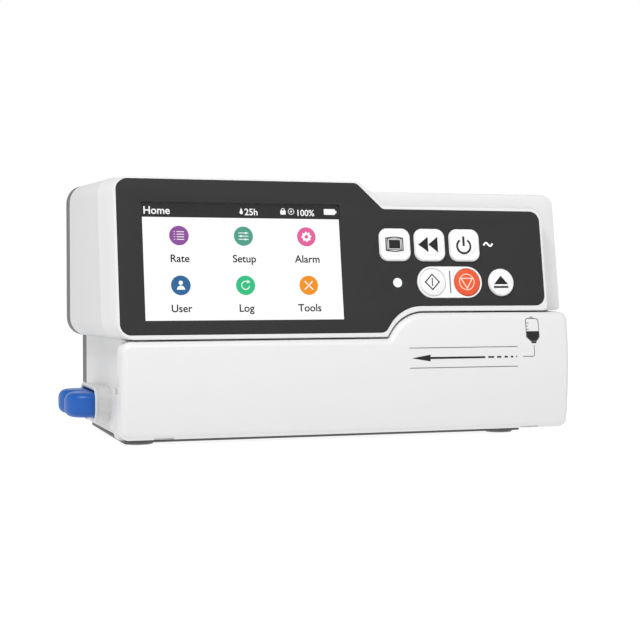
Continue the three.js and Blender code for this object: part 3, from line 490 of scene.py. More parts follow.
def panel_as_upright(inset):
    """The dark panel's outline in (x, z), as it stands on the plane of the panel."""
    return [[x, s * math.cos(TILT), r] for x, s, r in inset_corners(PANEL, inset)]


def make_front_shell():
    step = ((118.5, 72.5), (128, 68.3))
    face_step = ((118.2, 72.48), (127.4, 67.2))
    root_step = ((118.4, 72.47), (130.4, 61.5))
    rim_step = ((117.9, 72.5), (130.0, 60.9))
    rim = shell_corners(-1.5, 213.8, 60.9, rim_step)
    seam = shell_corners(-5.5, 225.5, 68.3, step)
    rings = [
        sloping_ring(panel_as_upright(0.8), 3.2),
        sloping_ring(rim, 3.4, 2.6),
        sloping_ring(rim, PLATEAU_DEPTH + 1.5, 2.6),
        sloping_ring(seam, PLATEAU_DEPTH + 2.3, 2.4),
        sloping_ring(seam, SEAM_DEPTH + 0.1, 2.2, True),
        sloping_ring(seam, SEAM_DEPTH + 0.1, 0.25, True),
        sloping_ring(seam, SEAM_DEPTH - 0.1, 0.0, True),
        sloping_ring(shell_corners(-5.35, 225.5, 68.3, step), SEAM_DEPTH - 0.9, 0.0, True),
        sloping_ring(shell_corners(-5.05, 225.5, 68.3, step), SEAM_DEPTH - 2.0, 0.0, True),
        sloping_ring(shell_corners(-3.95, 225.5, 68.3, step), PLATEAU_DEPTH + 1.4),
        sloping_ring(shell_corners(-3.8, 225.2, 68.0, step), PLATEAU_DEPTH + 0.5),
        sloping_ring(shell_corners(-3.7, 224.3, 67.2, face_step), PLATEAU_DEPTH),
        sloping_ring(shell_corners(-3.68, 215.8, 61.6, root_step), PLATEAU_DEPTH),
        sloping_ring(shell_corners(-3.6, 215.2, 61.5, root_step), PLATEAU_DEPTH - 0.5),
        sloping_ring(shell_corners(-1.9, 214.2, 61.2, rim_step), 1.4),
        sloping_ring(rim, 0.6, 0.06),
        sloping_ring(rim, 0.2, 0.2),
        sloping_ring(rim, 0.0, 0.5),
        sloping_ring(panel_as_upright(-0.15), 0.0),
        sloping_ring(panel_as_upright(-0.12), PANEL_THICK + 0.3),
    ]
    shell = loft("front_shell_skin", rings, cap_first=True, cap_last=True)
    depths = (-6, 1)
    cutters = [cutter(rectangle((9.2, 109.6), (3.8, 64.4)), ON_PANEL, *depths)]
    for x in SQUARE_KEYS.values():
        cutters.append(cutter(centred(x, KEY_ROW_UPPER, KEY_HOLE, KEY_HOLE, SQUARE_KEY_CORNER),
                              ON_PANEL, *depths))
    for x in ROUND_KEYS.values():
        cutters.append(round_cutter(x, KEY_ROW_LOWER, ROUND_HOLE, ON_PANEL, *depths))
    cutters.append(round_cutter(*STATUS_LIGHT[:2], STATUS_LIGHT[2] + 0.3, ON_PANEL, *depths))
    cut(shell, *cutters)
    # the shell wears the lighter copy of the white, which is painted light
    on_case(shell, "white_case", PAINTED_LIT_WHITE, "front_shell")


# The lower body stands further forward than the upper body's seam, with a step at each side.
LOWER_TOP_LEFT, LOWER_TOP_RIGHT = -2.65, 9.2
STEPPED_CASE = CASE[:2] + [[223, LOWER_TOP_RIGHT, 0], [223, 9.5, 0]] + CASE[2:] + [
    [3.5, -2.45, 0], [3.5, LOWER_TOP_LEFT, 0]]
GRIP_POCKET = ((-1, 8), (45.6, 91.2), (-41.7, -28.3))   # what the pressed grip moves into


def make_rear_housing():
    def front_ring(offset, inset=0.0):
        ring = []
        for x, z in outline(STEPPED_CASE, inset):
            lower = z < LOWER_TOP_LEFT + 0.05 or (x > 200 and z < LOWER_TOP_RIGHT + 0.05)
            y = BODY_FRONT if lower else depth_to_y(SEAM_DEPTH + 0.22, z)
            ring.append(drafted((x, y + offset, z)))
        return ring

    def flat_ring(y, inset=0.0):
        return [drafted((x, y, z)) for x, z in outline(STEPPED_CASE, inset)]

    rings = [front_ring(0.0, SHELL_WALL), front_ring(0.0, 0.5), front_ring(0.15, 0.3),
             front_ring(2.0, 0.1), front_ring(2.7, 0.02), front_ring(3.6),
             flat_ring(COVER_FRONT - 0.7), flat_ring(COVER_FRONT - 0.35, 0.1),
             flat_ring(COVER_FRONT - 0.2, 0.35), flat_ring(COVER_FRONT - 0.2, SHELL_WALL)]
    rings.append(rings[0])
    housing = loft("rear_housing_skin", rings)
    cut(housing, block_cutter(*GRIP_POCKET))
    on_case(housing, "white_case", WHITE, "rear_housing")
    cheek = [[9.6, -48.4, 0.3], [24.7, -48.4, 8], [24.7, -25, 2], [9.6, -25, 0.3]]
    levels = ((0, -4.5), (0, -1.2), (0.12, -0.75), (0.45, -0.35), (0.9, -0.2))
    side = loft("rear_housing_cheek", [[(x, y, h) for x, y in outline(cheek, inset)]
                                       for inset, h in levels],
                FACING_LEFT, cap_first=True, cap_last=True)
    cut(side, block_cutter((-1, 2.6), (9, 15.5), (-27.5, -20)))
    on_case(side, "white_case", WHITE)


VENT_X, VENT_Z, VENT_COUNT, VENT_PITCH = 60, -24, 5, 5
INLET_X, PORT_X, EARTH_X, SERVICE_Z = 190, 152, 128, -24
SCREW_PLACES = ((10, 58), (212, 55), (16, -38), (112, -40), (112, 62))


def make_rear_cover():
    def ring(y, inset=0.0):
        return [drafted((x, y, z)) for x, z in outline(CASE, inset)]

    edge = 3.0
    turns = 6
    rounding = []
    for k in range(turns + 1):
        angle = math.radians(90 * k / turns)
        rounding.append(ring(COVER_BACK - edge + edge * math.sin(angle),
                             edge * 0.75 * (1 - math.cos(angle))))
    inside = [ring(COVER_BACK - SHELL_WALL, 3.2), ring(COVER_BACK - SHELL_WALL - 0.6, SHELL_WALL),
              ring(COVER_FRONT, SHELL_WALL)]
    outside = [ring(COVER_FRONT, 0.3), ring(COVER_FRONT + 0.3)] + rounding
    cover = loft("rear_cover_skin", inside + outside, cap_first=True, cap_last=True)
    back = (COVER_BACK - 6, COVER_BACK + 2)
    holes = [centred(-VENT_X, VENT_Z + (i - VENT_COUNT // 2) * VENT_PITCH, 22, 2.2, 1.09)
             for i in range(VENT_COUNT)]
    holes += [centred(-INLET_X, SERVICE_Z, 28.4, 21.4, 1),
              centred(-PORT_X, SERVICE_Z, 16.4, 13.4, 0.5)]
    cutters = [cutter(hole, FACING_BACK, *back) for hole in holes]
    cutters.append(round_cutter(-EARTH_X, SERVICE_Z, 8.9, FACING_BACK, *back))
    cutters += [round_cutter(-x, z, 3.4, FACING_BACK, *back) for x, z in SCREW_PLACES]
    cut(cover, *cutters)
    on_case(cover, "cover_grey", COVER_GREY, "rear_cover")
    for i, (x, z) in enumerate(SCREW_PLACES):
        make_screw(f"cover_screw_{i + 1}", x, z)


def make_screw(name, x, z):
    """A recessed pan-head screw with a cross slot, in a cup that closes the cover's hole."""
    place = FACING_BACK @ Matrix.Translation((-x, z, COVER_BACK))
    cup = lathe(name + "_cup", [(3.9, -3.6), (3.9, -2.3), (3.3, -2.3), (3.3, -3.0), (0, -3.0)],
                place, 32)
    on_case(cup, "cover_grey", COVER_GREY)
    head = lathe(name, [(1.5, -2.98), (2.6, -2.98), (2.7, -2.6), (2.3, -2.0), (1.2, -1.7),
                        (0, -1.65)], place, 32)
    slots = [cutter(centred(0, 0, *size), place, -2.2, -1)
             for size in ((3.0, 0.6), (0.6, 3.0))]
    cut(head, *slots)
    on_case(head, "steel", STEEL)


def make_mains_inlet():
    place = FACING_BACK @ Matrix.Translation((-INLET_X, SERVICE_Z, COVER_BACK))
    socket = [[-12, -8, 1], [12, -8, 1], [12, 4.6, 1], [8.5, 8, 1.2], [-8.5, 8, 1.2],
              [-12, 4.6, 1]]
    body = plate("mains_inlet_body", [outline(centred(0, 0, 27.6, 20.6, 1.0)), outline(socket)],
                 place, -15, -0.3, 0.25)
    floor = plate("mains_inlet_floor", [outline(centred(0, 0, 27, 20, 1.0))], place, -20, -15.02)
    on_case(body, "dark_plastic", DARK, "mains_inlet")
    on_case(floor, "dark_plastic", DARK)
    for side, x, y in (("live", -7, -1.5), ("neutral", 7, -1.5), ("earth", 0, 2.5)):
        pin = plate(f"mains_pin_{side}", [outline(centred(x, y, 2, 4, 0.3))], place, -15, -5, 0.25)
        on_case(pin, "steel", STEEL)


def make_data_port():
    place = FACING_BACK @ Matrix.Translation((-PORT_X, SERVICE_Z, COVER_BACK))
    mouth = [[-5.9, -4, 0.2], [5.9, -4, 0.2], [5.9, 2.6, 0.2], [3, 2.6, 0.1], [3, 4, 0.2],
             [-3, 4, 0.2], [-3, 2.6, 0.1], [-5.9, 2.6, 0.2]]
    sleeve = plate("data_port_sleeve", [outline(centred(0, 0, 15.6, 12.6, 0.4)),
                                        outline(mouth, steps=2)], place, -11.5, -0.4, 0.12)
    floor = plate("data_port_floor", [outline(centred(0, 0, 15, 12))], place, -16, -11.55)
    on_case(sleeve, "steel", STEEL, "data_port")
    on_case(floor, "dark_plastic", DARK)
    pitch, count = 1.02, 8
    loops = [bar(i * pitch - 3.75, i * pitch - 3.35, -3.9, -3.4) for i in range(count)]
    contacts = plate("data_port_contacts", loops, place, -11, -3)
    place_piece(contacts, "case", "brass", BRASS)


def make_earth_terminal():
    place = FACING_BACK @ Matrix.Translation((-EARTH_X, SERVICE_Z, COVER_BACK))
    cup = lathe("earth_terminal_cup", [(8.6, -9.5), (8.6, -1.4), (7.9, -0.6), (7.5, -0.6),
                                       (7.4, -8), (0, -8)], place)
    pin = lathe("earth_terminal_pin", [(4.2, -7.9), (4.2, -6.6), (3, -6.4), (3, -3.2),
                                       (2.5, -2.9), (2.5, -2.3), (3, -2.0), (3, -0.9),
                                       (2.4, -0.45), (0, -0.42)], place)
    on_case(cup, "dark_plastic", DARK)
    on_case(pin, "brass", BRASS, "earth_terminal")


# ---------------------------------------------------------------- panel, display and keys
def make_panel():
    window = rectangle((SCREEN_X[0] - 0.3, SCREEN_X[1] + 0.3),
                       (SCREEN_S[0] - 0.3, SCREEN_S[1] + 0.3), 0.2)
    pill = centred(*PILL, 34.3, 15.9, 7.94)
    loops = [outline(PANEL, steps=16), outline(window, steps=2), outline(pill, steps=20)]
    loops += [outline(centred(x, KEY_ROW_UPPER, KEY_HOLE, KEY_HOLE, SQUARE_KEY_CORNER + 0.3))
              for x in SQUARE_KEYS.values()]
    loops.append(arc(ROUND_KEYS["key_open"], KEY_ROW_LOWER, ROUND_HOLE))
    loops.append(arc(STATUS_LIGHT[0], STATUS_LIGHT[1], STATUS_LIGHT[2] + 0.15))
    panel = plate("fascia_overlay", loops, ON_PANEL, -PANEL_THICK, 0, 0.12)
    on_case(panel, "dark_panel", PANEL_DARK, "fascia_panel")

    surround_top = 0.6
    holes = [arc(ROUND_KEYS[key], KEY_ROW_LOWER, ROUND_HOLE) for key in ("key_start", "key_stop")]
    surround = plate("key_surround_ring",
                     [outline(centred(*PILL, 33.8, 15.4, 7.69), steps=24)] + holes,
                     ON_PANEL, -PANEL_THICK, surround_top, 0.3)
    on_case(surround, "key_white", KEY_WHITE, "key_surround")
    divider = plate("key_surround_divider", [outline(centred(*PILL, 0.55, 11, 0.2))],
                    ON_PANEL, surround_top - PRINT_HEIGHT, surround_top + PRINT_HEIGHT)
    place_piece(divider, "case", "dark_panel", INK_GREY)

    x, s, radius = STATUS_LIGHT
    lens = lathe("status_light_lens", [(radius, -6), (radius, 0.05), (radius - 0.35, 0.28),
                                       (radius * 0.5, 0.4), (0, 0.43)],
                 ON_PANEL @ Matrix.Translation((x, s, 0)))
    on_case(lens, "light_pipe", LIGHT_GUIDE, "status_light")

    wave = [(MAINS_SIGN[0] + 2.5 * t / 12, MAINS_SIGN[1] - 0.8 * math.sin(1.2 * math.pi * t / 12))
            for t in range(-12, 13)]
    sign = plate("mains_light_sign", stroke(wave, 0.85), ON_PANEL, -0.3, PRINT_HEIGHT)
    place_piece(sign, "case", "light_pipe", INK_WHITE, "mains_light")


def dome_rings(base, base_z, dome_radius, crown):
    """Rings that rise from a key's edge over a shallow groove to a round dome."""
    count = len(base(0))
    centre_x = sum(p[0] for p in base(0)) / count
    centre_y = sum(p[1] for p in base(0)) / count
    angles = [math.atan2(y - centre_y, x - centre_x) for x, y in base(0)]

    def circle(radius, height):
        return [(centre_x + radius * math.cos(a), centre_y + radius * math.sin(a),
                 base_z + height) for a in angles]

    edge = [[(x, y, base_z + h) for x, y in base(inset)]
            for inset, h in ((0, -4.5), (-0.27, -4.5), (-0.27, -1.0), (0, -0.9), (0, -0.5),
                             (0.12, -0.22), (0.35, -0.07), (0.7, 0))]
    dome = [circle(dome_radius * share, height) for share, height in (
        (1.0, 0.0), (0.965, -0.05), (0.93, -0.02), (0.87, crown * 0.45), (0.78, crown * 0.72),
        (0.6, crown * 0.92), (0.3, crown), (0.02, crown))]
    return edge + dome


def make_keys():
    for name, x in SQUARE_KEYS.items():
        corners = centred(x, KEY_ROW_UPPER, SQUARE_KEY_SIZE, SQUARE_KEY_SIZE, SQUARE_KEY_CORNER)
        rings = dome_rings(lambda inset: outline(corners, inset), KEY_PROUD, 6.5,
                           SQUARE_CROWN)
        cap = loft(name + "_cap", rings, ON_PANEL, cap_first=True, cap_last=True)
        place_piece(smoothed(cap, 50), name, "key_white", KEY_WHITE, name)
    for name, x in ROUND_KEYS.items():
        rings = dome_rings(lambda inset: arc(x, KEY_ROW_LOWER, ROUND_KEY_RADIUS - inset),
                           KEY_PROUD, 5.7, ROUND_CROWN)
        cap = loft(name + "_cap", rings, ON_PANEL, cap_first=True, cap_last=True)
        orange = name == "key_stop"
        place_piece(smoothed(cap, 50), name, "key_orange" if orange else "key_white",
                    KEY_ORANGE if orange else KEY_WHITE, name)


def glyph_menu():
    """A screen with bulging top and bottom edges round a filled picture."""
    half, side, bulge = 4.25, 2.9, 0.55
    top = [(half * t / 8, side + bulge * (1 - (t / 8) ** 2)) for t in range(8, -9, -1)]
    tube = top + [(x, -y) for x, y in reversed(top)]
    return [stroke(tube, 0.5, True), stroke(bar(-3.45, 3.45, -2.6, 2.6), 0.3, True),
            [bar(-2.9, 2.9, -2.1, 2.1)]]


def glyph_rewind():
    return [[[(-5.6, 0), (-0.75, -3.8), (-0.75, 3.8)]], [[(-0.55, 0), (4.3, -3.8), (4.3, 3.8)]]]


def glyph_power():
    return [stroke(arc(-0.2, -0.7, 3.5, 124, 416, 40), 0.95), [bar(-0.75, 0.35, -0.6, 4.1)]]


def glyph_start():
    return [stroke([(3.6, 0), (0, 3.7), (-3.6, 0), (0, -3.7)], 0.55, True),
            [bar(-0.25, 0.25, -2.0, 2.0)]]


def glyph_stop():
    return [stroke(arc(0, 0, 3.85), 0.4, True),
            stroke([(3.0, 1.75), (-3.0, 1.75), (0, -3.1)], 0.5, True)]


def glyph_open():
    return [[[(-3.75, -1.15), (3.75, -1.15), (0, 3.1)]], [bar(-3.8, 3.8, -2.95, -2.05)]]


GLYPH_SHIFT = -0.6             # the signs sit a little left of each key's middle

KEY_GLYPHS = {"key_menu": glyph_menu, "key_rewind": glyph_rewind, "key_power": glyph_power,
              "key_start": glyph_start, "key_stop": glyph_stop, "key_open": glyph_open}


def make_key_prints():
    """Printed signs on each key, flat at the height of its dome's crown."""
    for name, glyph in KEY_GLYPHS.items():
        upper = name in SQUARE_KEYS
        x = SQUARE_KEYS[name] if upper else ROUND_KEYS[name]
        s = KEY_ROW_UPPER if upper else KEY_ROW_LOWER
        top = KEY_PROUD + (SQUARE_CROWN if upper else ROUND_CROWN)
        print_ = prints(name + "_print", shifted(glyph(), x + GLYPH_SHIFT, s), ON_PANEL,
                        top - 0.3, top + PRINT_HEIGHT)
        orange = name == "key_stop"
        place_piece(print_, name, "key_orange" if orange else "key_white",
                    INK_PALE if orange else INK_DARK)


TEXT_WEIGHT = 0.015            # how much each stroke is thickened, for a size of 1


def text_mesh(words, size, x, y, align):
    """The mesh of a few generic words, about z 0."""
    curve = bpy.data.curves.new("words", "FONT")
    curve.body = words
    curve.size = size
    curve.align_x = align
    curve.offset = TEXT_WEIGHT * size
    curve.extrude = PRINT_HEIGHT / 2
    holder = link("words", curve)
    holder.location = (x, y, 0)
    bpy.context.view_layer.update()
    data = bpy.data.meshes.new_from_object(holder.evaluated_get(
        bpy.context.evaluated_depsgraph_get()))
    data.transform(Matrix.Translation((x, y, 0)))
    bpy.data.objects.remove(holder)
    bpy.data.curves.remove(curve)
    return data


def make_text(name, items, place, height, body, slot, material_):
    """One piece of lettering from (words, size, x, y, align) items, at a local height."""
    mesh = bmesh.new()
    for words, size, x, y, align in items:
        data = text_mesh(words, size, x, y, align)
        mesh.from_mesh(data)
        bpy.data.meshes.remove(data)
    bmesh.ops.remove_doubles(mesh, verts=mesh.verts, dist=MERGE_DISTANCE)
    mesh.transform(place @ Matrix.Translation((0, 0, height)))
    data = bpy.data.meshes.new(name)
    mesh.to_mesh(data)
    mesh.free()
    return place_piece(link(name, data), body, slot, material_)


SCREEN_FACE = -1.05            # the lit surface, just under the clear window
ICON_RADIUS = 4.6
ICON_X, ICON_S = (28.75, 59.45, 90.25), (46.3, 23.0)
ICONS = [
    ("rate", "Rate", (0.27, 0.08, 0.33)), ("setup", "Setup", (0.08, 0.34, 0.25)),
    ("alarm", "Alarm", (0.75, 0.12, 0.32)), ("user", "User", (0.028, 0.13, 0.31)),
    ("log", "Log", (0.03, 0.52, 0.22)), ("tools", "Tools", (0.87, 0.28, 0.012)),
]


def icon_rate():
    rows = (1.8, 0.6, -0.6, -1.8)
    spans = ((-1.1, 2.4), (-2.4, -1.9))
    return [[bar(x0, x1, y - 0.17, y + 0.17)] for y in rows for x0, x1 in spans]


def icon_setup():
    lines = [[bar(-2.4, 2.4, y - 0.17, y + 0.17)] for y in (1.5, 0, -1.5)]
    return lines + [[arc(x, y, 0.5, steps=16)] for x, y in ((1.2, 1.5), (-1.2, 0.0), (0.9, -1.5))]


def icon_alarm():
    teeth = 8
    rim = []
    for k in range(teeth * 4):
        radius = 2.5 if k % 4 < 2 else 1.95
        angle = math.radians(360 * k / (teeth * 4))
        rim.append((radius * math.cos(angle), radius * math.sin(angle)))
    return [[rim, arc(0, 0, 0.9, steps=24)]]


def icon_user():
    return [[arc(0, 1.2, 1.0, steps=24)], [arc(0, -2.0, 1.9, 0, 180, 20)]]


def icon_log():
    return [stroke(arc(0, 0, 1.9, 60, 350, 32), 0.4), [[(0.7, 1.0), (2.3, 1.5), (1.1, 2.6)]]]


def icon_tools():
    return [stroke([(-2.0, -2.0), (2.0, 2.0)], 0.55), stroke([(-2.0, 2.0), (-0.45, 0.45)], 0.55),
            stroke([(0.45, -0.45), (2, -2)], 0.55)]


ICON_SIGNS = [icon_rate, icon_setup, icon_alarm, icon_user, icon_log, icon_tools]


def make_display():
    face = SCREEN_FACE
    module = plate("display_module", [outline(rectangle((9.7, 109.1), (4.3, 63.9), 0.5))],
                   ON_PANEL, -5.4, face - 0.12, 0.1)
    on_case(module, "lcd", DARK, "display_panel")
    picture = plate("screen_picture", [bar(*SCREEN_X, SCREEN_S[0], STATUS_BAR_S)],
                    ON_PANEL, face - 0.1, face)
    place_piece(picture, "case", "lcd", SCREEN_WHITE)
    status = plate("screen_status_bar", [bar(*SCREEN_X, STATUS_BAR_S, SCREEN_S[1])],
                   ON_PANEL, face - 0.1, face)
    place_piece(status, "case", "lcd", SCREEN_BAR)

    white_signs = []
    labels = []
    for i, (name, words, color) in enumerate(ICONS):
        x, s = ICON_X[i % 3], ICON_S[i // 3]
        tint = glowing(f"screen_{name}", color)
        badge = plate(f"screen_badge_{name}", [arc(x, s, ICON_RADIUS)], ON_PANEL, face,
                      face + PRINT_HEIGHT)
        place_piece(badge, "case", "lcd", tint)
        white_signs += shifted(ICON_SIGNS[i](), x, s)
        labels.append((words, 5.0, x, s - 12.4, "CENTER"))
    signs = prints("screen_signs", white_signs, ON_PANEL, face + PRINT_HEIGHT,
                   face + 2 * PRINT_HEIGHT)
    place_piece(signs, "case", "lcd", SCREEN_LIGHT)
    make_text("screen_labels", labels, ON_PANEL, face + PRINT_HEIGHT, "case", "lcd",
              SCREEN_TEXT)
    bar_s = 56.4
    make_text("screen_status_text", [("Home", 5.0, 12.3, bar_s, "LEFT"),
                                     ("25h", 4.4, 60.4, bar_s, "LEFT"),
                                     ("100%", 4.2, 90.2, bar_s, "CENTER")],
              ON_PANEL, face + PRINT_HEIGHT, "case", "lcd", SCREEN_LIGHT)
    marks = [
        [[(58.9, 59.9)] + arc(58.9, 57.6, 0.8, 150, 390, 20)],
        [outline(rectangle((99.6, 105.2), (57.1, 59.9), 0.3), steps=2)],
        [bar(105.25, 105.9, 57.9, 59.1)],
        [outline(rectangle((78.0, 80.6), (56.9, 58.9), 0.2), steps=2)],
        stroke(arc(79.3, 58.95, 0.85, 0, 180, 12), 0.3),
        stroke(arc(83.3, 58.4, 1.4), 0.28, True),
        [arc(83.3, 58.4, 0.5, steps=16)],
    ]
    printed = prints("screen_status_marks", marks, ON_PANEL, face, face + PRINT_HEIGHT)
    place_piece(printed, "case", "lcd", SCREEN_LIGHT)


# ---------------------------------------------------------------- door
def door_face(z):
    """How far forward the door's bulging face stands at this height."""
    rise = z - DOOR_FACE_Z
    return DOOR_FACE_Y + DOOR_FACE_RADIUS - math.sqrt(DOOR_FACE_RADIUS ** 2 - rise ** 2)


def door_back(z):
    """The door's back is flat, and round about the hinge below it."""
    drop = min(z - HINGE_Z, 0)
    return min(DOOR_BACK, HINGE_Y + math.sqrt(HINGE_SWEEP ** 2 - drop ** 2))


DOOR_FLAT = 5.0                # local y beyond which a ring belongs to the door's flat back


def make_door():
    def ring(y, inset=0.0):
        return [(x, y, z) for x, z in outline(DOOR, inset)]

    edge = 3.4
    turns = 8
    rings = [ring(DOOR_BACK + DOOR_FLAT, 0.35), ring(DOOR_BACK + DOOR_FLAT - 0.35)]
    for k in range(turns + 1):
        angle = math.radians(90 * k / turns)
        rings.append(ring(edge * (1 - math.sin(angle)), edge * 0.85 * (1 - math.cos(angle))))

    def warp(co):
        if co.y > DOOR_FLAT + 1:
            shift = co.y - DOOR_BACK - DOOR_FLAT
            return Vector((co.x, door_back(co.z) + shift, co.z))
        return Vector((co.x, door_face(co.z) + co.y, co.z))

    door = loft("door_skin", rings, cap_last=True, warp=warp, slices=range(-46, 9, 2))
    thicken(door, 2.0)
    cutters = [block_cutter((x - 4.7, x + 4.7), (HINGE_Y - 3.2, 20), (-60, -39.8))
               for x in (20, 203)]
    cutters.append(block_cutter((-20, 3.5), (4.7, 20), (-24, -18.8)))
    cutters.append(block_cutter((219.5, 240), (4.7, 20), (-24, -18.8)))
    cut(door, *cutters)
    # the door wears the lighter copy of the white, which is painted light
    place_piece(smoothed(door), "door", "white_case", PAINTED_LIT_WHITE, "door_shell")


def on_door(piece, height=PRINT_HEIGHT):
    """Bends a flat print, drawn in (x, z), onto the door's face."""
    inverse = UPRIGHT.inverted()
    for vert in piece.data.vertices:
        local = inverse @ vert.co
        local.y = door_face(local.z) - (height if local.y < 0 else -height)
        vert.co = UPRIGHT @ local
    return piece


def door_piece(name, shapes, material_):
    piece = prints(name, shapes, FACING_FRONT, -0.02, 0.02)
    place_piece(on_door(piece), "door", "dark_panel", material_)


def make_door_print():
    """A flow pictogram: a bag on its line, and an arrow along the tubing's path."""
    arrow_z = -12.4
    arrow = [(139.4, arrow_z), (149.0, arrow_z - 1.6), (149.0, arrow_z - 0.5),
             (177.7, arrow_z - 0.45), (177.7, arrow_z + 0.45), (149.0, arrow_z + 0.5),
             (149.0, arrow_z + 1.6)]
    dashes = ((179.2, 182.3), (183.9, 186.2), (187.9, 189.6), (191.3, 192.5), (194.2, 194.7))
    fluid = [(206.8, -0.1), (206.9, -3.0), (205.2, -4.9), (202.6, -4.9), (200.3, -2.9),
             (200.1, -0.1)]
    ticks = [[bar(200.1, x1, z - 0.14, z + 0.14)]
             for x1, z in ((201.5, 3.9), (201.1, 2.4), (201.5, 0.9))]
    dark = [[arrow], [fluid], [bar(202.6, 205.2, -6.0, -5.2)], *ticks]
    dark += [[bar(x0, x1, arrow_z - 0.42, arrow_z + 0.42)] for x0, x1 in dashes]
    door_piece("door_print_arrow", dark, INK_DARK)
    line = [(197.8, arrow_z), (203.1, arrow_z)] + arc(203.1, arrow_z + 0.9, 0.9, -90, 0, 6)
    line += [(204.0, -6.9)]
    bag = outline([[200.0, -2.9, 0.6], [202.5, -5.0, 0.3], [205.3, -5.0, 0.3],
                   [206.9, -3.0, 0.6], [206.7, 6.0, 1.2], [199.9, 6.2, 1.2]], steps=4)
    thin = [[bar(138.3, 195.0, z - 0.18, z + 0.18)] for z in (-7.5, -17.1)]
    thin += [stroke(line, 0.36), stroke([(202.0, 6.2), (203.1, 7.1), (204.2, 6.2)], 0.36),
             stroke(bag, 0.4, True)]
    door_piece("door_print_lines", thin, INK_GREY)


# ---------------------------------------------------------------- side release
BOSS_Y, BOSS_Z = (44.3, 92.5), (-43, -27)
RELEASE_Y, RELEASE_Z = 68.4, -35.0


def make_side_boss():
    """The collar, with a flared lip round its mouth."""
    def ring(x, inset):
        return [(x, y, z) for y, z in outline(rectangle(BOSS_Y, BOSS_Z, 6), inset)]

    levels = ((3.3, 0), (-2.6, 0), (-3.0, -0.1), (-3.3, -0.45), (-3.7, -0.55), (-4.2, -0.45),
              (-4.5, 0.0), (-4.55, 0.6), (-4.4, 1.2), (-3.9, 1.6), (3.3, 1.6), (3.3, 0))
    boss = loft("side_boss_collar", [ring(*level) for level in levels])
    on_case(boss, "white_case", WHITE, "side_boss")


def make_grip():
    """Two domed finger lobes side by side, rounded all over."""
    lobe, lobe_x, half = 11.0, -6.5, 6.0

    def ring(height, inset):
        low = arc(lobe_x, RELEASE_Y - lobe, lobe - inset, 270, 90, 24)
        high = arc(lobe_x, RELEASE_Y + lobe, lobe - inset, 270, 90, 24)
        edge = 2 * lobe - inset
        loop = [(-0.5, RELEASE_Y - edge)] + low + high + [(-0.5, RELEASE_Y + edge)]
        return [(x, y, RELEASE_Z - 0.4 + height) for x, y in loop]

    rounding = 3.9
    turns = [math.radians(angle) for angle in range(0, 91, 15)]
    top = [(half - rounding + rounding * math.sin(t), rounding * (1 - math.cos(t)))
           for t in turns]
    levels = [(-height, inset) for height, inset in reversed(top)] + top
    grip = loft("release_grip_lobes", [ring(*level) for level in levels],
                cap_first=True, cap_last=True)
    remesh = grip.modifiers.new("even", "REMESH")
    remesh.mode = "VOXEL"
    remesh.voxel_size = 0.45 * MM
    smooth = grip.modifiers.new("soft", "SMOOTH")
    smooth.iterations = 8
    bake(grip)
    place_piece(smoothed(grip, 60), "release", "release_blue", BLUE, "release_grip")


# ---------------------------------------------------------------- small pieces and CAD nodes
def make_base():
    """The plate under the case, with a thicker flank along the left side."""
    floor = plate("base_plate_sheet", [outline(rectangle((6, 205), (14, 112), 3))], UPRIGHT,
                  -50.3, -49.35, 0.2)
    on_case(floor, "dark_plastic", BASE_GREY, "base_plate")
    flank = plate("base_plate_flank", [outline(rectangle((3.9, 7), (13, 110), 1.2))], UPRIGHT,
                  -50.8, -49.1, 0.4)
    on_case(flank, "dark_plastic", BASE_GREY)


def make_feet():
    for node in ("foot_front_left", "foot_front_right", "foot_rear_left", "foot_rear_right"):
        low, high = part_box(node)
        centre = (low + high) / 2
        place = Matrix.Translation((centre.x, centre.y, low.z)) @ Matrix.Scale(MM, 4)
        pad = lathe(node + "_pad", [(6.3, 0), (6.8, 0.15), (7, 0.5), (6.9, 0.88), (5.6, 0.9)],
                    place)
        on_case(pad, "rubber_black", FOOT_RUBBER, node)


SLOT_MATERIALS = {
    "white_case": WHITE, "dark_panel": PANEL_DARK, "cover_grey": COVER_GREY,
    "key_white": KEY_WHITE, "key_orange": KEY_ORANGE, "release_blue": BLUE,
    "rubber_black": RUBBER, "steel": STEEL, "alloy": ALLOY, "engineering_plastic": NATURAL,
    "dark_plastic": DARK, "circuit_board": BOARD_GREEN, "lcd": SCREEN_WHITE,
    "clear_window": CLEAR, "light_pipe": LIGHT_GUIDE, "brass": BRASS, "battery_wrap": WRAP,
    "motor_black": BLACK_STEEL,
}


def dress_cad_nodes():
    """Materials and softened edges for the CAD pieces that stay on show."""
    slots = {row["node"]: row["material_slot"] for row in frame["record"]["subparts"]}
    for name, node in frame["nodes"].items():
        if node.hide_render:
            continue
        node.data.materials.clear()
        node.data.materials.append(SLOT_MATERIALS[slots[name]])
        bevel = node.modifiers.new("edges", "BEVEL")
        bevel.width = 0.15 * MM
        bevel.segments = 2
        bevel.limit_method = "ANGLE"
        bevel.angle_limit = math.radians(40)


# ---------------------------------------------------------------- camera, floor and light
CAMERA_PLACE = Vector((-112.0, -642.35, 23.76))
CAMERA_YAW, CAMERA_PITCH = math.radians(17.80), math.radians(-1.49)
CAMERA_LENS, SENSOR = 80.8, 36.0


def make_camera():
    data = bpy.data.cameras.new("camera")
    data.lens, data.sensor_width = CAMERA_LENS, SENSOR
    camera = link("camera", data)
    look = Vector((math.sin(CAMERA_YAW) * math.cos(CAMERA_PITCH),
                   math.cos(CAMERA_YAW) * math.cos(CAMERA_PITCH), math.sin(CAMERA_PITCH)))
    camera.location = UPRIGHT @ CAMERA_PLACE
    camera.rotation_mode = "QUATERNION"
    camera.rotation_quaternion = look.to_track_quat("-Z", "Y")
    bpy.context.scene.camera = camera


HORIZON, CEILING = 1.0, 0.3            # strength of the surround, low and high
FADE_FROM, FADE_TO = 0.26, 0.5         # how far up the surround dims, as the sine of elevation
FLOOR_HALF, FLOOR_GLOW = 8.0, 0.9
LIGHTS_AIM = (0, 0, 0.06)
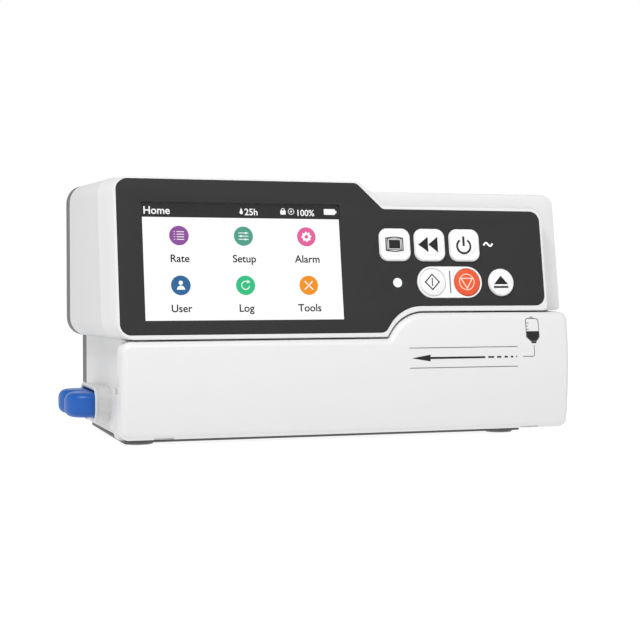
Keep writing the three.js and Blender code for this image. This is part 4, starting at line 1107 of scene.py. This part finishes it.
# Each light: place, size and power.
SOFT_LIGHTS = {"key": ((0.1, -1.1, 1.35), 0.7, 10.0), "side": ((-0.8, -0.6, 1.5), 0.5, 17.0)}


def make_floor():
    half = FLOOR_HALF
    data = bpy.data.meshes.new("floor")
    data.from_pydata([(-half, -half, 0), (half, -half, 0), (half, half, 0), (-half, half, 0)],
                     [], [(0, 1, 2, 3)])
    data.materials.append(material("floor", (0.25, 0.25, 0.25), 0.9, Specular_IOR_Level=0.0,
                                   Emission_Color=(1, 1, 1, 1), Emission_Strength=FLOOR_GLOW))
    link("floor", data)


def soft_light(name, place, size, power):
    data = bpy.data.lights.new(name, "AREA")
    data.shape, data.size, data.energy = "DISK", size, power
    light = link(name, data)
    light.location = place
    light.rotation_mode = "QUATERNION"
    light.rotation_quaternion = (Vector(LIGHTS_AIM) - Vector(place)).to_track_quat("-Z", "Y")


def make_studio():
    """A pale band of light round the horizon, a dim ceiling and two large soft lights."""
    world = bpy.data.worlds.new("studio")
    world.use_nodes = True
    tree = world.node_tree
    background = tree.nodes["Background"]
    direction = tree.nodes.new("ShaderNodeTexCoord")
    split = tree.nodes.new("ShaderNodeSeparateXYZ")
    fade = tree.nodes.new("ShaderNodeMapRange")
    for socket, value in (("From Min", FADE_FROM), ("From Max", FADE_TO),
                          ("To Min", HORIZON), ("To Max", CEILING)):
        fade.inputs[socket].default_value = value
    tree.links.new(direction.outputs["Generated"], split.inputs[0])
    tree.links.new(split.outputs["Z"], fade.inputs["Value"])
    tree.links.new(fade.outputs["Result"], background.inputs["Strength"])
    background.inputs["Color"].default_value = (1, 1, 1, 1)
    bpy.context.scene.world = world
    bpy.context.scene.view_settings.view_transform = "Standard"
    for name, settings in SOFT_LIGHTS.items():
        soft_light(name, *settings)
    make_floor()


make_camera()
make_studio()
make_front_shell()
make_rear_housing()
make_rear_cover()
make_mains_inlet()
make_data_port()
make_earth_terminal()
make_panel()
make_keys()
make_key_prints()
make_display()
make_door()
make_door_print()
make_side_boss()
make_grip()
make_base()
make_feet()
dress_cad_nodes()
